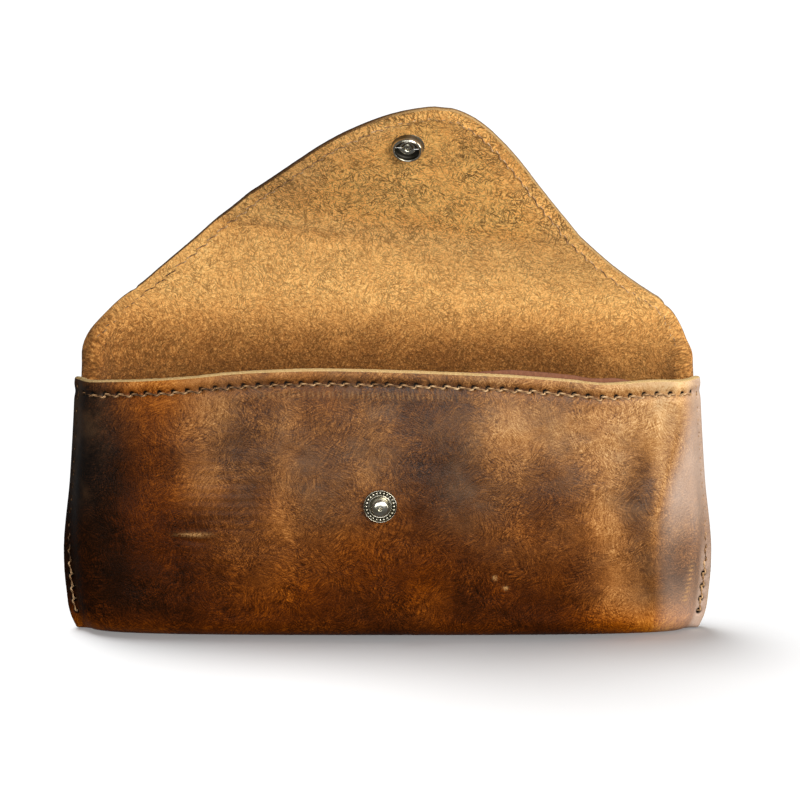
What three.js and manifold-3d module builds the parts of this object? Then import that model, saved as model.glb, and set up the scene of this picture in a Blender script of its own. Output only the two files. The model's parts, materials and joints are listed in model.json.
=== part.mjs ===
// A soft leather spectacles case, standing on its base with its flap open.
// Millimetres, +Z up, the front leaf towards -Y, the origin at the centre of the base.
//
// One hide makes the front leaf, the base, the back leaf and the flap. The leaves are sewn together at both
// sides with their raw edges outwards. The flap folds along two lines, so it is two panels: the bridge, which
// lies over the mouth when the case is shut, and the front, which carries half of the snap down to the stud.
// Each panel is drawn in its own plane: x across, y away from its fold, +z towards the suede side.
import * as THREE from "three";
import { mergeVertices } from "three/addons/utils/BufferGeometryUtils.js";
import Module from "manifold-3d";

const wasm = await Module();
wasm.setup();

// ---- driving dimensions ----
const LEATHER = 2.0; // thickness of the hide
const GAP = 0.3; // clearance between pieces that touch on the real object

const MOUTH_Z = 77; // height of the pocket
const SEAM_FLANGE = 3.8; // how far the sewn edges stand out at each side
const WALL_ROUNDNESS = 3.4; // superellipse exponent of the plan: 2 is an ellipse, more is squarer
// Half width over the sewn edges, and half depth over the leather, at heights above the base.
const HALF_WIDTH = [[0, 86.5], [4, 90.4], [12, 92.0], [24, 92.7], [44, 90.8], [60, 89.6], [MOUTH_Z, 88.6]];
const HALF_DEPTH = [[0, 12.0], [14, 13.8], [40, 15.6], [60, 15.2], [MOUTH_Z, 14.5]];
const BASE_ROUND = 5; // radius between the leaves and the base
const BODY_HEIGHTS = [0, 0.7, 2, 5, 9, 14, 20, 28, 34, 39, 44, 54, 66, MOUTH_Z];
const ARC_STEPS = 20; // straight facets across one leaf

const FACING_THICKNESS = 1.2;
const FACING_HEIGHT = 13;
const FACING_PROUD = 0.3; // stands above the front leaf's edge

const FOLD_Z = 79.5; // the line where the back leaf becomes the flap
const FOLD_Y = 13.3;
const FLAP_CENTRE_X = -1; // the flap's centreline where it leaves the back leaf
const BRIDGE_LENGTH = 30; // back fold to front fold
const FRONT_LENGTH = 55.5; // front fold to the tip
const FOLD_CLEARANCE = 4; // from each fold line to the bridge, for the hide that bends
const FRONT_CLEARANCE = 7; // from the front fold to the front, which also clears the mouth as it unfolds
// The open flap: the bridge stands upright and the front leans over the mouth. Both lean a little to the
// right.
const BRIDGE_ROLL = THREE.MathUtils.degToRad(3.5);
const FRONT_ROLL = THREE.MathUtils.degToRad(9);
const FRONT_LEAN = THREE.MathUtils.degToRad(33.5);

const THREAD_RADIUS = 0.35;
const STITCH_MARGIN = 3.8; // seam line to cut edge, at the mouth and round the flap

const STUD_X = -2;
const STUD_Z = 39.5;
const SOCKET_REACH = 40.0; // front fold to the middle of the socket
const SNAP_HOLE_RADIUS = 2.2;
const SPRING_HEIGHT = 1.75; // socket flange to the wires

// ---- materials ----
function finish(color, roughness, metalness = 0) {
  return new THREE.MeshStandardMaterial({ color, roughness, metalness });
}
const HIDE = finish(0x6b4424, 0.5);
const FACING = finish(0x9a6a48, 0.8);
const THREAD = finish(0xc9a77a, 0.7);
const NICKEL = finish(0xc8c4b4, 0.25, 1);

// ---- geometry helpers ----
function addMesh(parent, name, geometry, material) {
  const mesh = new THREE.Mesh(geometry, material);
  mesh.name = name;
  parent.add(mesh);
  return mesh;
}

function toSolid(geometry) {
  const bare = geometry.clone();
  bare.deleteAttribute("normal");
  bare.deleteAttribute("uv");
  const merged = mergeVertices(bare, 1e-4);
  return new wasm.Manifold(new wasm.Mesh({
    numProp: 3,
    vertProperties: merged.attributes.position.array,
    triVerts: new Uint32Array(merged.index.array),
  }));
}

function toGeometry(solid) {
  const mesh = solid.getMesh();
  const geometry = new THREE.BufferGeometry();
  geometry.setAttribute("position", new THREE.BufferAttribute(mesh.vertProperties, 3));
  geometry.setIndex(new THREE.BufferAttribute(mesh.triVerts, 1));
  geometry.computeVertexNormals();
  return geometry;
}

// The value at a height, on a smooth curve through [height, value] pairs.
function readProfile(pairs, height) {
  const curve = new THREE.SplineCurve(pairs.map(([z, value]) => new THREE.Vector2(z, value)));
  let low = 0;
  let high = 1;
  for (let halving = 0; halving < 30; halving++) {
    const middle = (low + high) / 2;
    if (curve.getPoint(middle).x < height) low = middle;
    else high = middle;
  }
  return curve.getPoint(low).y;
}

// A closed solid through rings of equal point count, capped at both ends. Rings run anticlockwise from above.
function loft(rings) {
  const count = rings[0].length;
  const index = [];
  for (let ring = 0; ring + 1 < rings.length; ring++) {
    for (let i = 0; i < count; i++) {
      const a = ring * count + i;
      const b = ring * count + (i + 1) % count;
      index.push(a, b, b + count, a, b + count, a + count);
    }
  }
  const top = (rings.length - 1) * count;
  const flat = (ring) => ring.map((p) => new THREE.Vector2(p.x, p.y));
  for (const [a, b, c] of THREE.ShapeUtils.triangulateShape(flat(rings[0]), [])) index.push(a, c, b);
  for (const [a, b, c] of THREE.ShapeUtils.triangulateShape(flat(rings.at(-1)), [])) {
    index.push(top + a, top + b, top + c);
  }
  return new THREE.BufferGeometry().setFromPoints(rings.flat()).setIndex(index);
}

// A thread laid along points, as a six-sided tube.
function threadTube(points) {
  const section = new THREE.Shape();
  section.absarc(0, 0, THREAD_RADIUS, 0, 2 * Math.PI);
  const path = new THREE.CatmullRomCurve3(points, false, "centripetal");
  const settings = { steps: points.length * 2, curveSegments: 3, extrudePath: path };
  return new THREE.ExtrudeGeometry(section, settings);
}

// A turned piece. Its [radius, height] pairs go once round the section and close on themselves.
function turned(pairs) {
  const profile = [...pairs, pairs[0]].map(([radius, height]) => new THREE.Vector2(radius, height));
  return new THREE.LatheGeometry(profile, 24);
}

const steps = (count, place) => Array.from({ length: count + 1 }, (_, i) => place(i / count));

// ---- the pocket ----
const halfWidth = (z) => readProfile(HALF_WIDTH, z);

function halfDepth(z) {
  const drop = Math.max(0, BASE_ROUND - z);
  return readProfile(HALF_DEPTH, z) - BASE_ROUND + Math.sqrt(BASE_ROUND ** 2 - drop ** 2);
}

// A point on a leaf: side is 1 for the back and -1 for the front, along runs from 0 at the right seam to 1 at
// the left, and inset is the depth below the grain. At the seam the leaf ends on its half of the flange.
function leafPoint(side, along, z, inset) {
  const power = 2 / WALL_ROUNDNESS;
  const across = Math.cos(Math.PI * along);
  const out = Math.sin(Math.PI * along);
  const seam = Math.max(LEATHER - inset, 0);
  const reach = halfWidth(z) - SEAM_FLANGE - Math.min(inset, LEATHER);
  const x = Math.sign(across) * Math.abs(across) ** power * reach;
  const y = side * (seam + Math.abs(out) ** power * (halfDepth(z) - inset - seam));
  return new THREE.Vector3(x, y, z);
}

function outerRing(z) {
  const edge = halfWidth(z);
  const corner = (x, y) => new THREE.Vector3(x, y, z);
  return [
    corner(edge, -LEATHER),
    corner(edge, LEATHER),
    ...steps(ARC_STEPS, (t) => leafPoint(1, t, z, 0)),
    corner(-edge, LEATHER),
    corner(-edge, -LEATHER),
    ...steps(ARC_STEPS, (t) => leafPoint(-1, 1 - t, z, 0)),
  ];
}

// Inside, the two leaves share their end points at the seams. The ring of height z is set at another height
// for the floor and for the cut above the mouth.
function innerRing(z, height = z) {
  const back = steps(ARC_STEPS, (t) => leafPoint(1, t, z, LEATHER));
  const front = steps(ARC_STEPS, (t) => leafPoint(-1, 1 - t, z, LEATHER)).slice(1, -1);
  return [...back, ...front].map((p) => p.setZ(height));
}

// A cylinder along Y through the front leaf at the stud.
function studHole() {
  return new THREE.CylinderGeometry(SNAP_HOLE_RADIUS, SNAP_HOLE_RADIUS, 4 * LEATHER, 24)
    .translate(STUD_X, -halfDepth(STUD_Z), STUD_Z);
}

function hideBody() {
  const outside = toSolid(loft(BODY_HEIGHTS.map(outerRing)));
  const walls = BODY_HEIGHTS.filter((z) => z > BASE_ROUND);
  const inside = toSolid(loft([
    innerRing(BASE_ROUND, LEATHER),
    ...walls.map((z) => innerRing(z)),
    innerRing(MOUTH_Z, MOUTH_Z + LEATHER),
  ]));
  return toGeometry(outside.subtract(inside).subtract(toSolid(studHole())));
}

// The strip behind the mouth edge follows the inside of the front leaf and stops short of both seams.
function mouthFacing() {
  const [first, last] = [0.2, 0.8];
  const top = MOUTH_Z + FACING_PROUD;
  const outline = (height) => {
    const z = Math.min(height, MOUTH_Z);
    const edge = (inset) => (t) => leafPoint(-1, last + t * (first - last), z, inset).setZ(height);
    const outer = steps(ARC_STEPS, edge(LEATHER + GAP));
    const inner = steps(ARC_STEPS, edge(LEATHER + GAP + FACING_THICKNESS));
    return [...outer, ...inner.reverse()];
  };
  return loft([top - FACING_HEIGHT, MOUTH_Z - FACING_HEIGHT / 2, top].map(outline));
}

function mouthThread(inset) {
  const ends = 0.16;
  const height = MOUTH_Z - STITCH_MARGIN;
  return threadTube(steps(ARC_STEPS, (t) => leafPoint(-1, ends + t * (1 - 2 * ends), height, inset)));
}

function sideThread(side, face) {
  const [low, high] = [7, MOUTH_Z - 3];
  const y = face * (LEATHER + GAP + THREAD_RADIUS);
  return threadTube(steps(8, (t) => {
    const z = low + t * (high - low);
    return new THREE.Vector3(side * (halfWidth(z) - SEAM_FLANGE / 2), y, z);
  }));
}

// ---- the flap ----
// Half of the flap's outline, from the back fold to the tip: a rounded shoulder, a long slope that hollows
// a little past the front fold, and a round tip.
function flapOutline(side, spot) {
  const end = BRIDGE_LENGTH + FRONT_LENGTH;
  const point = (x, y) => new THREE.Vector2(side * x, y);
  const half = new THREE.CurvePath();
  half.add(new THREE.CubicBezierCurve(point(86.3, 0), point(86, 6), point(81, 10.8), point(73, 17.6)));
  half.add(new THREE.CubicBezierCurve(point(73, 17.6), point(57, 30.8), point(48.5, 40), point(31, 62.3)));
  half.add(new THREE.CubicBezierCurve(point(31, 62.3), point(25, 70), point(15.5, end), point(0, end)));
  return half.getPoint(spot);
}

const FLAP_STEPS = 24;

// The flap's outline, moved inwards by a margin, from the right of the back fold round the tip to the left.
function flapEdge(margin) {
  const spots = steps(FLAP_STEPS, (t) => t);
  const right = spots.map((t) => flapOutline(1, t));
  const left = spots.map((t) => flapOutline(-1, t)).reverse().slice(1);
  const edge = [...right, ...left];
  return edge.map((p, i) => {
    const before = edge[Math.max(i - 1, 0)];
    const after = edge[Math.min(i + 1, edge.length - 1)];
    const inward = after.clone().sub(before).normalize().rotateAround(new THREE.Vector2(), Math.PI / 2);
    return p.clone().addScaledVector(inward, margin);
  });
}

// The stretch of the flap between two distances from the back fold, with y counted from another distance.
function flapPanel(low, high, zero, hole) {
  const edge = flapEdge(0).filter((p) => p.y > low && p.y < high);
  const onRight = edge.filter((p) => p.x >= 0);
  const onLeft = edge.filter((p) => p.x < 0);
  const corners = high < BRIDGE_LENGTH + FRONT_LENGTH
    ? [...onRight, new THREE.Vector2(widthAt(high), high), new THREE.Vector2(-widthAt(high), high), ...onLeft]
    : edge;
  const outline = [new THREE.Vector2(widthAt(low), low), ...corners, new THREE.Vector2(-widthAt(low), low)];
  const shape = new THREE.Shape(outline.map((p) => new THREE.Vector2(p.x, p.y - zero)));
  if (hole) shape.holes.push(new THREE.Path().absarc(hole.x, hole.y, SNAP_HOLE_RADIUS, 0, 2 * Math.PI));
  const options = { depth: LEATHER, bevelEnabled: false, curveSegments: 12 };
  return new THREE.ExtrudeGeometry(shape, options).translate(0, 0, -LEATHER / 2);
}

// Half width of the flap at a distance from the back fold.
function widthAt(y) {
  let low = 0;
  let high = 1;
  for (let halving = 0; halving < 30; halving++) {
    const middle = (low + high) / 2;
    if (flapOutline(1, middle).y < y) low = middle;
    else high = middle;
  }
  return flapOutline(1, low).x;
}

// A seam line of the flap between two distances from the back fold, on one face: 1 is suede, -1 is grain.
function flapThread(low, high, zero, face, side = 0) {
  const z = face * (LEATHER / 2 + GAP + THREAD_RADIUS);
  const line = flapEdge(STITCH_MARGIN).filter((p) => p.y > low && p.y < high && side * p.x >= 0);
  return threadTube(line.map((p) => new THREE.Vector3(p.x, p.y - zero, z)));
}

// A panel's group: its origin on the middle of its fold, rolled to the right and leaning forward.
function panelGroup(origin, roll, lean) {
  const across = new THREE.Vector3(Math.cos(roll), 0, -Math.sin(roll));
  const away = new THREE.Vector3(
    Math.sin(roll) * Math.cos(lean),
    -Math.sin(lean),
    Math.cos(roll) * Math.cos(lean),
  );
  const frame = new THREE.Matrix4().makeBasis(across, away, across.clone().cross(away));
  const panel = new THREE.Group();
  panel.position.copy(origin);
  panel.quaternion.setFromRotationMatrix(frame);
  return panel;
}

// ---- the snap: each piece is turned about +Y, which points away from the leather it is set in ----
// Beaded ring, dished inside the beads, with a hollow post that has a round head.
function snapStud() {
  return turned([
    [1.9, 0], [4.7, 0], [4.75, 0.5], [4.3, 0.9], [3.8, 1.0], [3.3, 0.85], [2.9, 0.55],
    [1.95, 0.6], [1.8, 1.2], [1.8, 1.9], [2.25, 2.3], [2.3, 2.7], [2.0, 3.1], [1.3, 3.3], [1.0, 3.0],
    [1.0, 2.4], [1.3, 1.6], [1.7, 0.6],
  ]);
}

// Flange inside the pocket and a barrel that reaches through the leather to the stud.
function studEyelet() {
  return turned([
    [1.0, 0], [4.4, 0], [4.5, 0.3], [4.2, 0.6], [1.6, 0.6],
    [1.55, 0.6 + LEATHER + 0.5], [1.0, 0.6 + LEATHER + 0.5],
  ]);
}

// Domed cap with its post.
function snapCap() {
  return turned([
    [0, -LEATHER - 0.9], [1.5, -LEATHER - 0.9], [1.5, 0],
    [5.2, 0], [5.5, 0.4], [5.0, 1.2], [3.4, 1.9], [1.6, 2.2], [0, 2.3],
  ]);
}

// Ribbed flange and an open bowl whose rim turns in to hold the springs.
function snapSocket() {
  return turned([
    [1.9, 0], [4.8, 0], [4.8, 0.4], [4.35, 0.5], [4.3, 2.1], [3.8, 2.6], [3.1, 2.6], [3.1, 2.25],
    [3.7, 2.0], [3.8, 0.5], [1.9, 0.45],
  ]);
}

// A wire across the bowl, bowed outwards, which grips the post under its head.
function socketSpring(side) {
  const path = [[-2.3, 2.2], [-1.2, 2.75], [0, 2.95], [1.2, 2.75], [2.3, 2.2]]
    .map(([along, out]) => new THREE.Vector3(side * out, SPRING_HEIGHT, along));
  const section = new THREE.Shape();
  section.absarc(0, 0, 0.25, 0, 2 * Math.PI);
  const curve = new THREE.CatmullRomCurve3(path);
  return new THREE.ExtrudeGeometry(section, { steps: 8, curveSegments: 3, extrudePath: curve });
}

// ---- assembly ----
function buildPocket() {
  const pocket = new THREE.Group();
  addMesh(pocket, "hide_body", hideBody(), HIDE);
  addMesh(pocket, "mouth_facing", mouthFacing(), FACING);
  const outside = -(GAP + THREAD_RADIUS);
  addMesh(pocket, "mouth_seam_needle_thread", mouthThread(outside), THREAD);
  const inside = LEATHER + 2 * GAP + FACING_THICKNESS + THREAD_RADIUS;
  addMesh(pocket, "mouth_seam_bobbin_thread", mouthThread(inside), THREAD);
  for (const [name, side] of [["left", -1], ["right", 1]]) {
    addMesh(pocket, `${name}_seam_needle_thread`, sideThread(side, -1), THREAD);
    addMesh(pocket, `${name}_seam_bobbin_thread`, sideThread(side, 1), THREAD);
  }
  const stud = addMesh(pocket, "snap_stud", snapStud(), NICKEL);
  stud.position.set(STUD_X, -halfDepth(STUD_Z) - GAP, STUD_Z);
  stud.rotation.x = Math.PI;
  const eyelet = addMesh(pocket, "stud_eyelet", studEyelet(), NICKEL);
  eyelet.position.set(STUD_X, -halfDepth(STUD_Z) + LEATHER + 2 * GAP + 0.6, STUD_Z);
  eyelet.rotation.x = Math.PI;
  return pocket;
}

function buildBridge() {
  const bridge = panelGroup(new THREE.Vector3(FLAP_CENTRE_X, FOLD_Y, FOLD_Z), BRIDGE_ROLL, 0);
  const [low, high] = [FOLD_CLEARANCE, BRIDGE_LENGTH - FOLD_CLEARANCE];
  addMesh(bridge, "hide_flap_bridge", flapPanel(low, high, 0), HIDE);
  for (const [name, side] of [["left", -1], ["right", 1]]) {
    addMesh(bridge, `bridge_${name}_needle_thread`, flapThread(low, high, 0, -1, side), THREAD);
    addMesh(bridge, `bridge_${name}_bobbin_thread`, flapThread(low, high, 0, 1, side), THREAD);
  }
  return bridge;
}

function buildFront(bridge) {
  const fold = bridge.localToWorld(new THREE.Vector3(0, BRIDGE_LENGTH, 0));
  const front = panelGroup(fold, FRONT_ROLL, FRONT_LEAN);
  const [low, end] = [BRIDGE_LENGTH + FRONT_CLEARANCE, BRIDGE_LENGTH + FRONT_LENGTH];
  const centre = new THREE.Vector2(STUD_X - FLAP_CENTRE_X, SOCKET_REACH);
  addMesh(front, "hide_flap_front", flapPanel(low, end, BRIDGE_LENGTH, centre), HIDE);
  addMesh(front, "flap_edge_needle_thread", flapThread(low, end, BRIDGE_LENGTH, -1), THREAD);
  addMesh(front, "flap_edge_bobbin_thread", flapThread(low, end, BRIDGE_LENGTH, 1), THREAD);
  const cap = addMesh(front, "snap_cap", snapCap(), NICKEL);
  cap.position.set(centre.x, centre.y, -LEATHER / 2 - GAP);
  cap.rotation.x = -Math.PI / 2;
  const socket = new THREE.Group();
  socket.position.set(centre.x, centre.y, LEATHER / 2 + GAP);
  socket.rotation.x = Math.PI / 2;
  addMesh(socket, "snap_socket", snapSocket(), NICKEL);
  addMesh(socket, "socket_spring_left", socketSpring(-1), NICKEL);
  addMesh(socket, "socket_spring_right", socketSpring(1), NICKEL);
  front.add(socket);
  return front;
}

const spectaclesCase = new THREE.Group();
const bridge = buildBridge();
bridge.updateMatrixWorld();
spectaclesCase.add(buildPocket(), bridge, buildFront(bridge));

export default spectaclesCase;
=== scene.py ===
"""A soft leather spectacles case with its flap open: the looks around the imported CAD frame.

Lengths in the code are millimetres, and each mesh is written in metres. The hide is built as one grid of
points on its grain side, and every sheet piece is that grid, the same grid moved in by the leather's
thickness, and a cut edge all round. Textures read stored attributes of the flat leather, so they stay put
when the flap bends.
"""

import json
import math

import bmesh
import bpy
import numpy as np
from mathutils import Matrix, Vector


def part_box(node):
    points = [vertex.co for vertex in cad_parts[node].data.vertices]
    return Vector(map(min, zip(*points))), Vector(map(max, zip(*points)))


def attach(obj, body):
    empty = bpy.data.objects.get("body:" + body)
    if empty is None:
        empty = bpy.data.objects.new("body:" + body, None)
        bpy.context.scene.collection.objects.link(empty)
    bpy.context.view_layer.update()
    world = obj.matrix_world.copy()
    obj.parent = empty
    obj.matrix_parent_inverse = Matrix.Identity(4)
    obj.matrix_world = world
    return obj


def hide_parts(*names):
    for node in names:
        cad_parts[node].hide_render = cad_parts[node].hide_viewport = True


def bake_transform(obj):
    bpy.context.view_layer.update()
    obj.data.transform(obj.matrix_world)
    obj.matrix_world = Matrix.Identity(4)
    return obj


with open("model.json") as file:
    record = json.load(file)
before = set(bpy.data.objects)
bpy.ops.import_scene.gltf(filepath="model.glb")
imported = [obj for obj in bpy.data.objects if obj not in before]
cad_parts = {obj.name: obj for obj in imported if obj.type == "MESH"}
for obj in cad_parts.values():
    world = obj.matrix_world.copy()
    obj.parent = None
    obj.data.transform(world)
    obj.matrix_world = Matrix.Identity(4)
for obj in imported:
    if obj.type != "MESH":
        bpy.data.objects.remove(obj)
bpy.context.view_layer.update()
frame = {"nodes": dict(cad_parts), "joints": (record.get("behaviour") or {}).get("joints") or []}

MM = 0.001


# ---- the frame, in millimetres ----
def box_mm(node):
    low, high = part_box(node)
    return np.array(low) / MM, np.array(high) / MM


def joint_point(name):
    joint = next(j for j in frame["joints"] if j["name"] == name)
    return np.array(joint["pos_m"]) / MM


BACK_FOLD = joint_point("back_fold")
FRONT_FOLD = joint_point("front_fold")

# ---- driving dimensions, as in the CAD ----
LEATHER = 2.0
MOUTH_Z = box_mm("hide_body")[1][2]
FLANGE = 3.4  # sewn edge outside the wall
ROUNDNESS = [(0, 3.4), (20, 3.3), (50, 2.7), (MOUTH_Z, 2.3)]  # superellipse exponent of the plan
HALF_WIDTH = [(0, 89.2), (4, 90.9), (12, 92.1), (24, 92.7), (44, 90.8), (60, 89.6), (MOUTH_Z, 88.6)]
HALF_DEPTH = [(0, 12.0), (14, 13.8), (40, 15.6), (60, 15.2), (MOUTH_Z, 14.5)]
BASE_ROUND = 5.0
BASE_TOP = 8.0  # the base's own rows reach this height
BRIDGE_LENGTH = np.linalg.norm(FRONT_FOLD - BACK_FOLD)
FRONT_LENGTH = 55.5
BRIDGE_ROLL = math.radians(1.8)
FRONT_ROLL = math.radians(9)
FRONT_LEAN = math.radians(33.5)
FLAP_TWIST = 2.8  # how far the flap's sides are twisted out of plane, 30 mm either side of its middle
# The flap has been pulled out of true: its middle lies further right the further it is from the back fold.
FLAP_DRIFT = [(0, 1.0), (4, 1.8), (8, 2.9), (12, 3.8), (20, 4.7), (28, 5.5), (36, 5.8), (46, 5.2), (58, 4.0),
              (66, 4.0), (74, 5.0), (86, 8.0)]
BEND_REACH = 13.0  # the front fold's bend starts this far either side of it
SPLIT_LENGTH = 15.0  # the flap is split here, halfway up the bridge
STITCH_MARGIN = 3.8
STITCH_PITCH = 4.05
SIDE_MARGIN = 2.0
SIDE_PITCH = 3.7
SIDE_START = 5.0  # height of the side seams' lower ends
FLAP_MARGIN = 2.9
THREAD_RADIUS = 0.3
FACING_THICKNESS = 1.2
FACING_GAP = 0.05  # between the front leaf and the strip behind it
PLY_SPACING = 1.6  # a ply of the thread passes every so far along it
STUD_RAISE = 0.6  # the stud sits this much higher than the CAD's
SOCKET_SHIFT = 0.8  # and the socket this much further right on the flap
EDGE_RINGS = (0.16, 0.5, 0.84)  # where the cut edge's points lie between the grain and the suede side
# The front leaf's cut edge is cut a little unevenly: its height at places across.
MOUTH_EDGE = [(-92, 73.0), (-86, 73.3), (-80, 73.9), (-70, 74.7), (-57, 76.0), (-44, 77.6), (-30, 78.5),
              (-4, 78.4), (14, 77.6), (29, 77.0), (50, 75.4), (61, 74.2), (74, 74.5), (84, 73.7), (92, 73.0)]
BASE_ROWS = 24  # rows of points under the base and round its corner
WALL_ROWS = 61  # rows up the back leaf to the fold's piece
FOLD_ROWS = 20  # rows across the back fold
MOUTH_ROWS = 24  # closely spaced rows below the mouth edge
FACING_ROWS = 36  # rows down from the mouth edge that the strip behind it covers


# ---- numeric helpers ----
def curve_through(pairs):
    """A smooth function through (position, value) pairs, level beyond both ends."""
    at, values = np.array(pairs, float).T
    slopes = np.gradient(values, at)

    def read(x):
        x = np.clip(x, at[0], at[-1])
        i = np.clip(np.searchsorted(at, x) - 1, 0, len(at) - 2)
        step = at[i + 1] - at[i]
        t = (x - at[i]) / step
        rise = values[i] * (2 * t**3 - 3 * t**2 + 1) + values[i + 1] * (3 * t**2 - 2 * t**3)
        turn = slopes[i] * (t**3 - 2 * t**2 + t) + slopes[i + 1] * (t**3 - t**2)
        return rise + turn * step

    return read


def smoothstep(low, high, x):
    t = np.clip((x - low) / (high - low), 0, 1)
    return t * t * (3 - 2 * t)


def bell(x, width):
    return np.exp(-((x / width) ** 2))


def unit(v):
    return v / np.maximum(np.linalg.norm(v, axis=-1, keepdims=True), 1e-9)


def run_along(points):
    """How far along a polyline each of its points lies."""
    return np.concatenate([[0], np.cumsum(np.linalg.norm(np.diff(points, axis=0), axis=1))])


def resample(points, count):
    """The same polyline with its points evenly spaced."""
    run = run_along(points)
    spots = np.linspace(0, run[-1], count)
    return np.stack([np.interp(spots, run, column) for column in points.T], axis=1)


def cloud(x, y, size, seed, octaves=3):
    """Gradient noise over a plane, about -1 to 1, with features about size across."""
    table = np.random.default_rng(seed).permutation(256)
    total = np.zeros(np.broadcast(x, y).shape)
    weight = 1.0
    for octave in range(octaves):
        px = x / size * 2**octave + 17.3 * octave + 0.37
        py = y / size * 2**octave + 5.9 * octave + 0.61
        ix, iy = np.floor(px).astype(int), np.floor(py).astype(int)
        fx, fy = px - ix, py - iy
        ux, uy = fx * fx * (3 - 2 * fx), fy * fy * (3 - 2 * fy)
        corners = []
        for dx in (0, 1):
            for dy in (0, 1):
                turn = table[(table[(ix + dx) % 256] + iy + dy) % 256] * (2 * np.pi / 256)
                corners.append(np.cos(turn) * (fx - dx) + np.sin(turn) * (fy - dy))
        low = corners[0] * (1 - uy) + corners[1] * uy
        high = corners[2] * (1 - uy) + corners[3] * uy
        total = total + weight * 1.6 * (low * (1 - ux) + high * ux)
        weight *= 0.5
    return total / (2 - 2.0 ** (1 - octaves))


# ---- the pocket's leaves ----
half_width = curve_through(HALF_WIDTH)
half_depth = curve_through(HALF_DEPTH)
roundness = curve_through(ROUNDNESS)
mouth_edge = curve_through(MOUTH_EDGE)


def section(height, count, side):
    """One leaf's grain surface at a height, from its right cut edge to its left one, as (x, depth). side is
    as in Leaf. The sewn edges are pushed back, more the higher they are."""
    turned = math.radians(15 + 38 * smoothstep(14, 42, height))
    reach, back = FLANGE * math.cos(turned), FLANGE * math.sin(turned)
    shift = (1 + side) * LEATHER * math.sin(turned)  # the back leaf's edge lies behind the front leaf's
    edge = half_width(height) - shift
    wall = edge - reach
    root = LEATHER * math.cos(turned)
    angle = np.linspace(0, np.pi, 721)
    power = 2 / roundness(height)
    x = np.sign(np.cos(angle)) * np.abs(np.cos(angle)) ** power * wall
    depth = root + np.abs(np.sin(angle)) ** power * (half_depth(height) - root)
    tip = root + side * back
    outline = np.concatenate([[[edge, tip]], np.stack([x, depth], axis=1), [[-edge, tip]]])
    fine = resample(outline, 900)
    # Leather has no sharp corners: the corner between the flange and the wall is rounded off.
    half = 40
    kernel = bell(np.arange(-half, half + 1), 15.0)
    kernel /= kernel.sum()
    before = 2 * fine[0] - fine[half:0:-1]
    after = 2 * fine[-1] - fine[-2:-half - 2:-1]
    padded = np.concatenate([before, fine, after])
    smooth = np.stack([np.convolve(column, kernel, "valid") for column in padded.T], axis=1)
    return resample(smooth, count)


class Leaf:
    """One wall of the pocket: side is -1 for the front and 1 for the back."""

    def __init__(self, side, columns):
        self.side = side
        self.columns = columns
        self.table = np.stack([section(z, columns, side) for z in range(0, 96)])

    def wall(self, height):
        """Points (x, y) at a height for each column."""
        height = np.broadcast_to(height, (self.columns,)).astype(float)
        low = np.clip(np.floor(height).astype(int), 0, len(self.table) - 2)
        part = (height - low)[:, None]
        column = np.arange(self.columns)
        point = self.table[low, column] * (1 - part) + self.table[low + 1, column] * part
        return point[:, 0], point[:, 1]

    def base_rows(self, count):
        """Rows from the middle of the base to BASE_TOP, and how far each lies along the leather."""
        x, depth = self.wall(BASE_TOP)
        radius = np.minimum(BASE_ROUND, 0.95 * depth)
        flat = depth - radius
        arc = radius * np.pi / 2
        whole = flat + arc + BASE_TOP - radius
        rows, along = [], []
        for share in np.linspace(0, 1, count, endpoint=False):
            run = share * whole
            turn = np.clip((run - flat) / radius, 0, np.pi / 2)
            y = np.minimum(run, flat) + radius * np.sin(turn)
            z = radius * (1 - np.cos(turn)) + np.maximum(run - flat - arc, 0)
            narrow = half_width(z) / half_width(BASE_TOP)
            shallow = half_depth(z) / half_depth(BASE_TOP)
            y = np.where(y > LEATHER, LEATHER + (y - LEATHER) * shallow, y)
            rows.append(np.stack([x * narrow, self.side * y, z], axis=1))
            along.append(run - whole + BASE_TOP)
        return rows, along

    def row(self, height):
        """A row of points at a height, one for each column."""
        x, depth = self.wall(height)
        return np.stack([x, self.side * depth, np.broadcast_to(height, x.shape)], axis=1)

    def spread(self, values):
        """A grid of numbers from one number, or one for each column, for every row."""
        return np.stack([np.broadcast_to(value, (self.columns,)) for value in values])

    def across(self):
        """Each column's distance across the leather from the middle."""
        run = run_along(self.table[40])
        return run[-1] / 2 - run


def grid_normals(grid, outward):
    """Unit normals of a grid of points, on the side that outward, a function of the points, gives."""
    down, over = np.gradient(grid, axis=0), np.gradient(grid, axis=1)
    normal = unit(np.cross(down, over))
    return normal * np.sign(np.sum(normal * outward, axis=-1, keepdims=True))


def press_holes(grid, normals, holes, depth, radius):
    """Pushes small pits into a grid at the holes, and returns how far into a pit each point lies, 0 to 1."""
    dark = np.zeros(grid.shape[:2])
    for hole in holes:
        gap = np.linalg.norm(grid - hole, axis=-1)
        dark = np.maximum(dark, bell(gap, radius))
    grid -= normals * (depth * dark)[..., None]
    return dark


def seam_spots(points, normals, pitch=STITCH_PITCH):
    """Hole positions, and the surface normals there, evenly spaced along a seam line."""
    both = np.concatenate([points, normals], axis=1)
    run = run_along(points)
    count = max(2, int(round(run[-1] / pitch)) + 1)
    spots = np.linspace(0, run[-1], count)
    even = np.stack([np.interp(spots, run, column) for column in both.T], axis=1)
    return even[:, :3], unit(even[:, 3:])


# ---- meshes ----
def add_object(name, data):
    obj = bpy.data.objects.new(name, data)
    bpy.context.scene.collection.objects.link(obj)
    return obj


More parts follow.
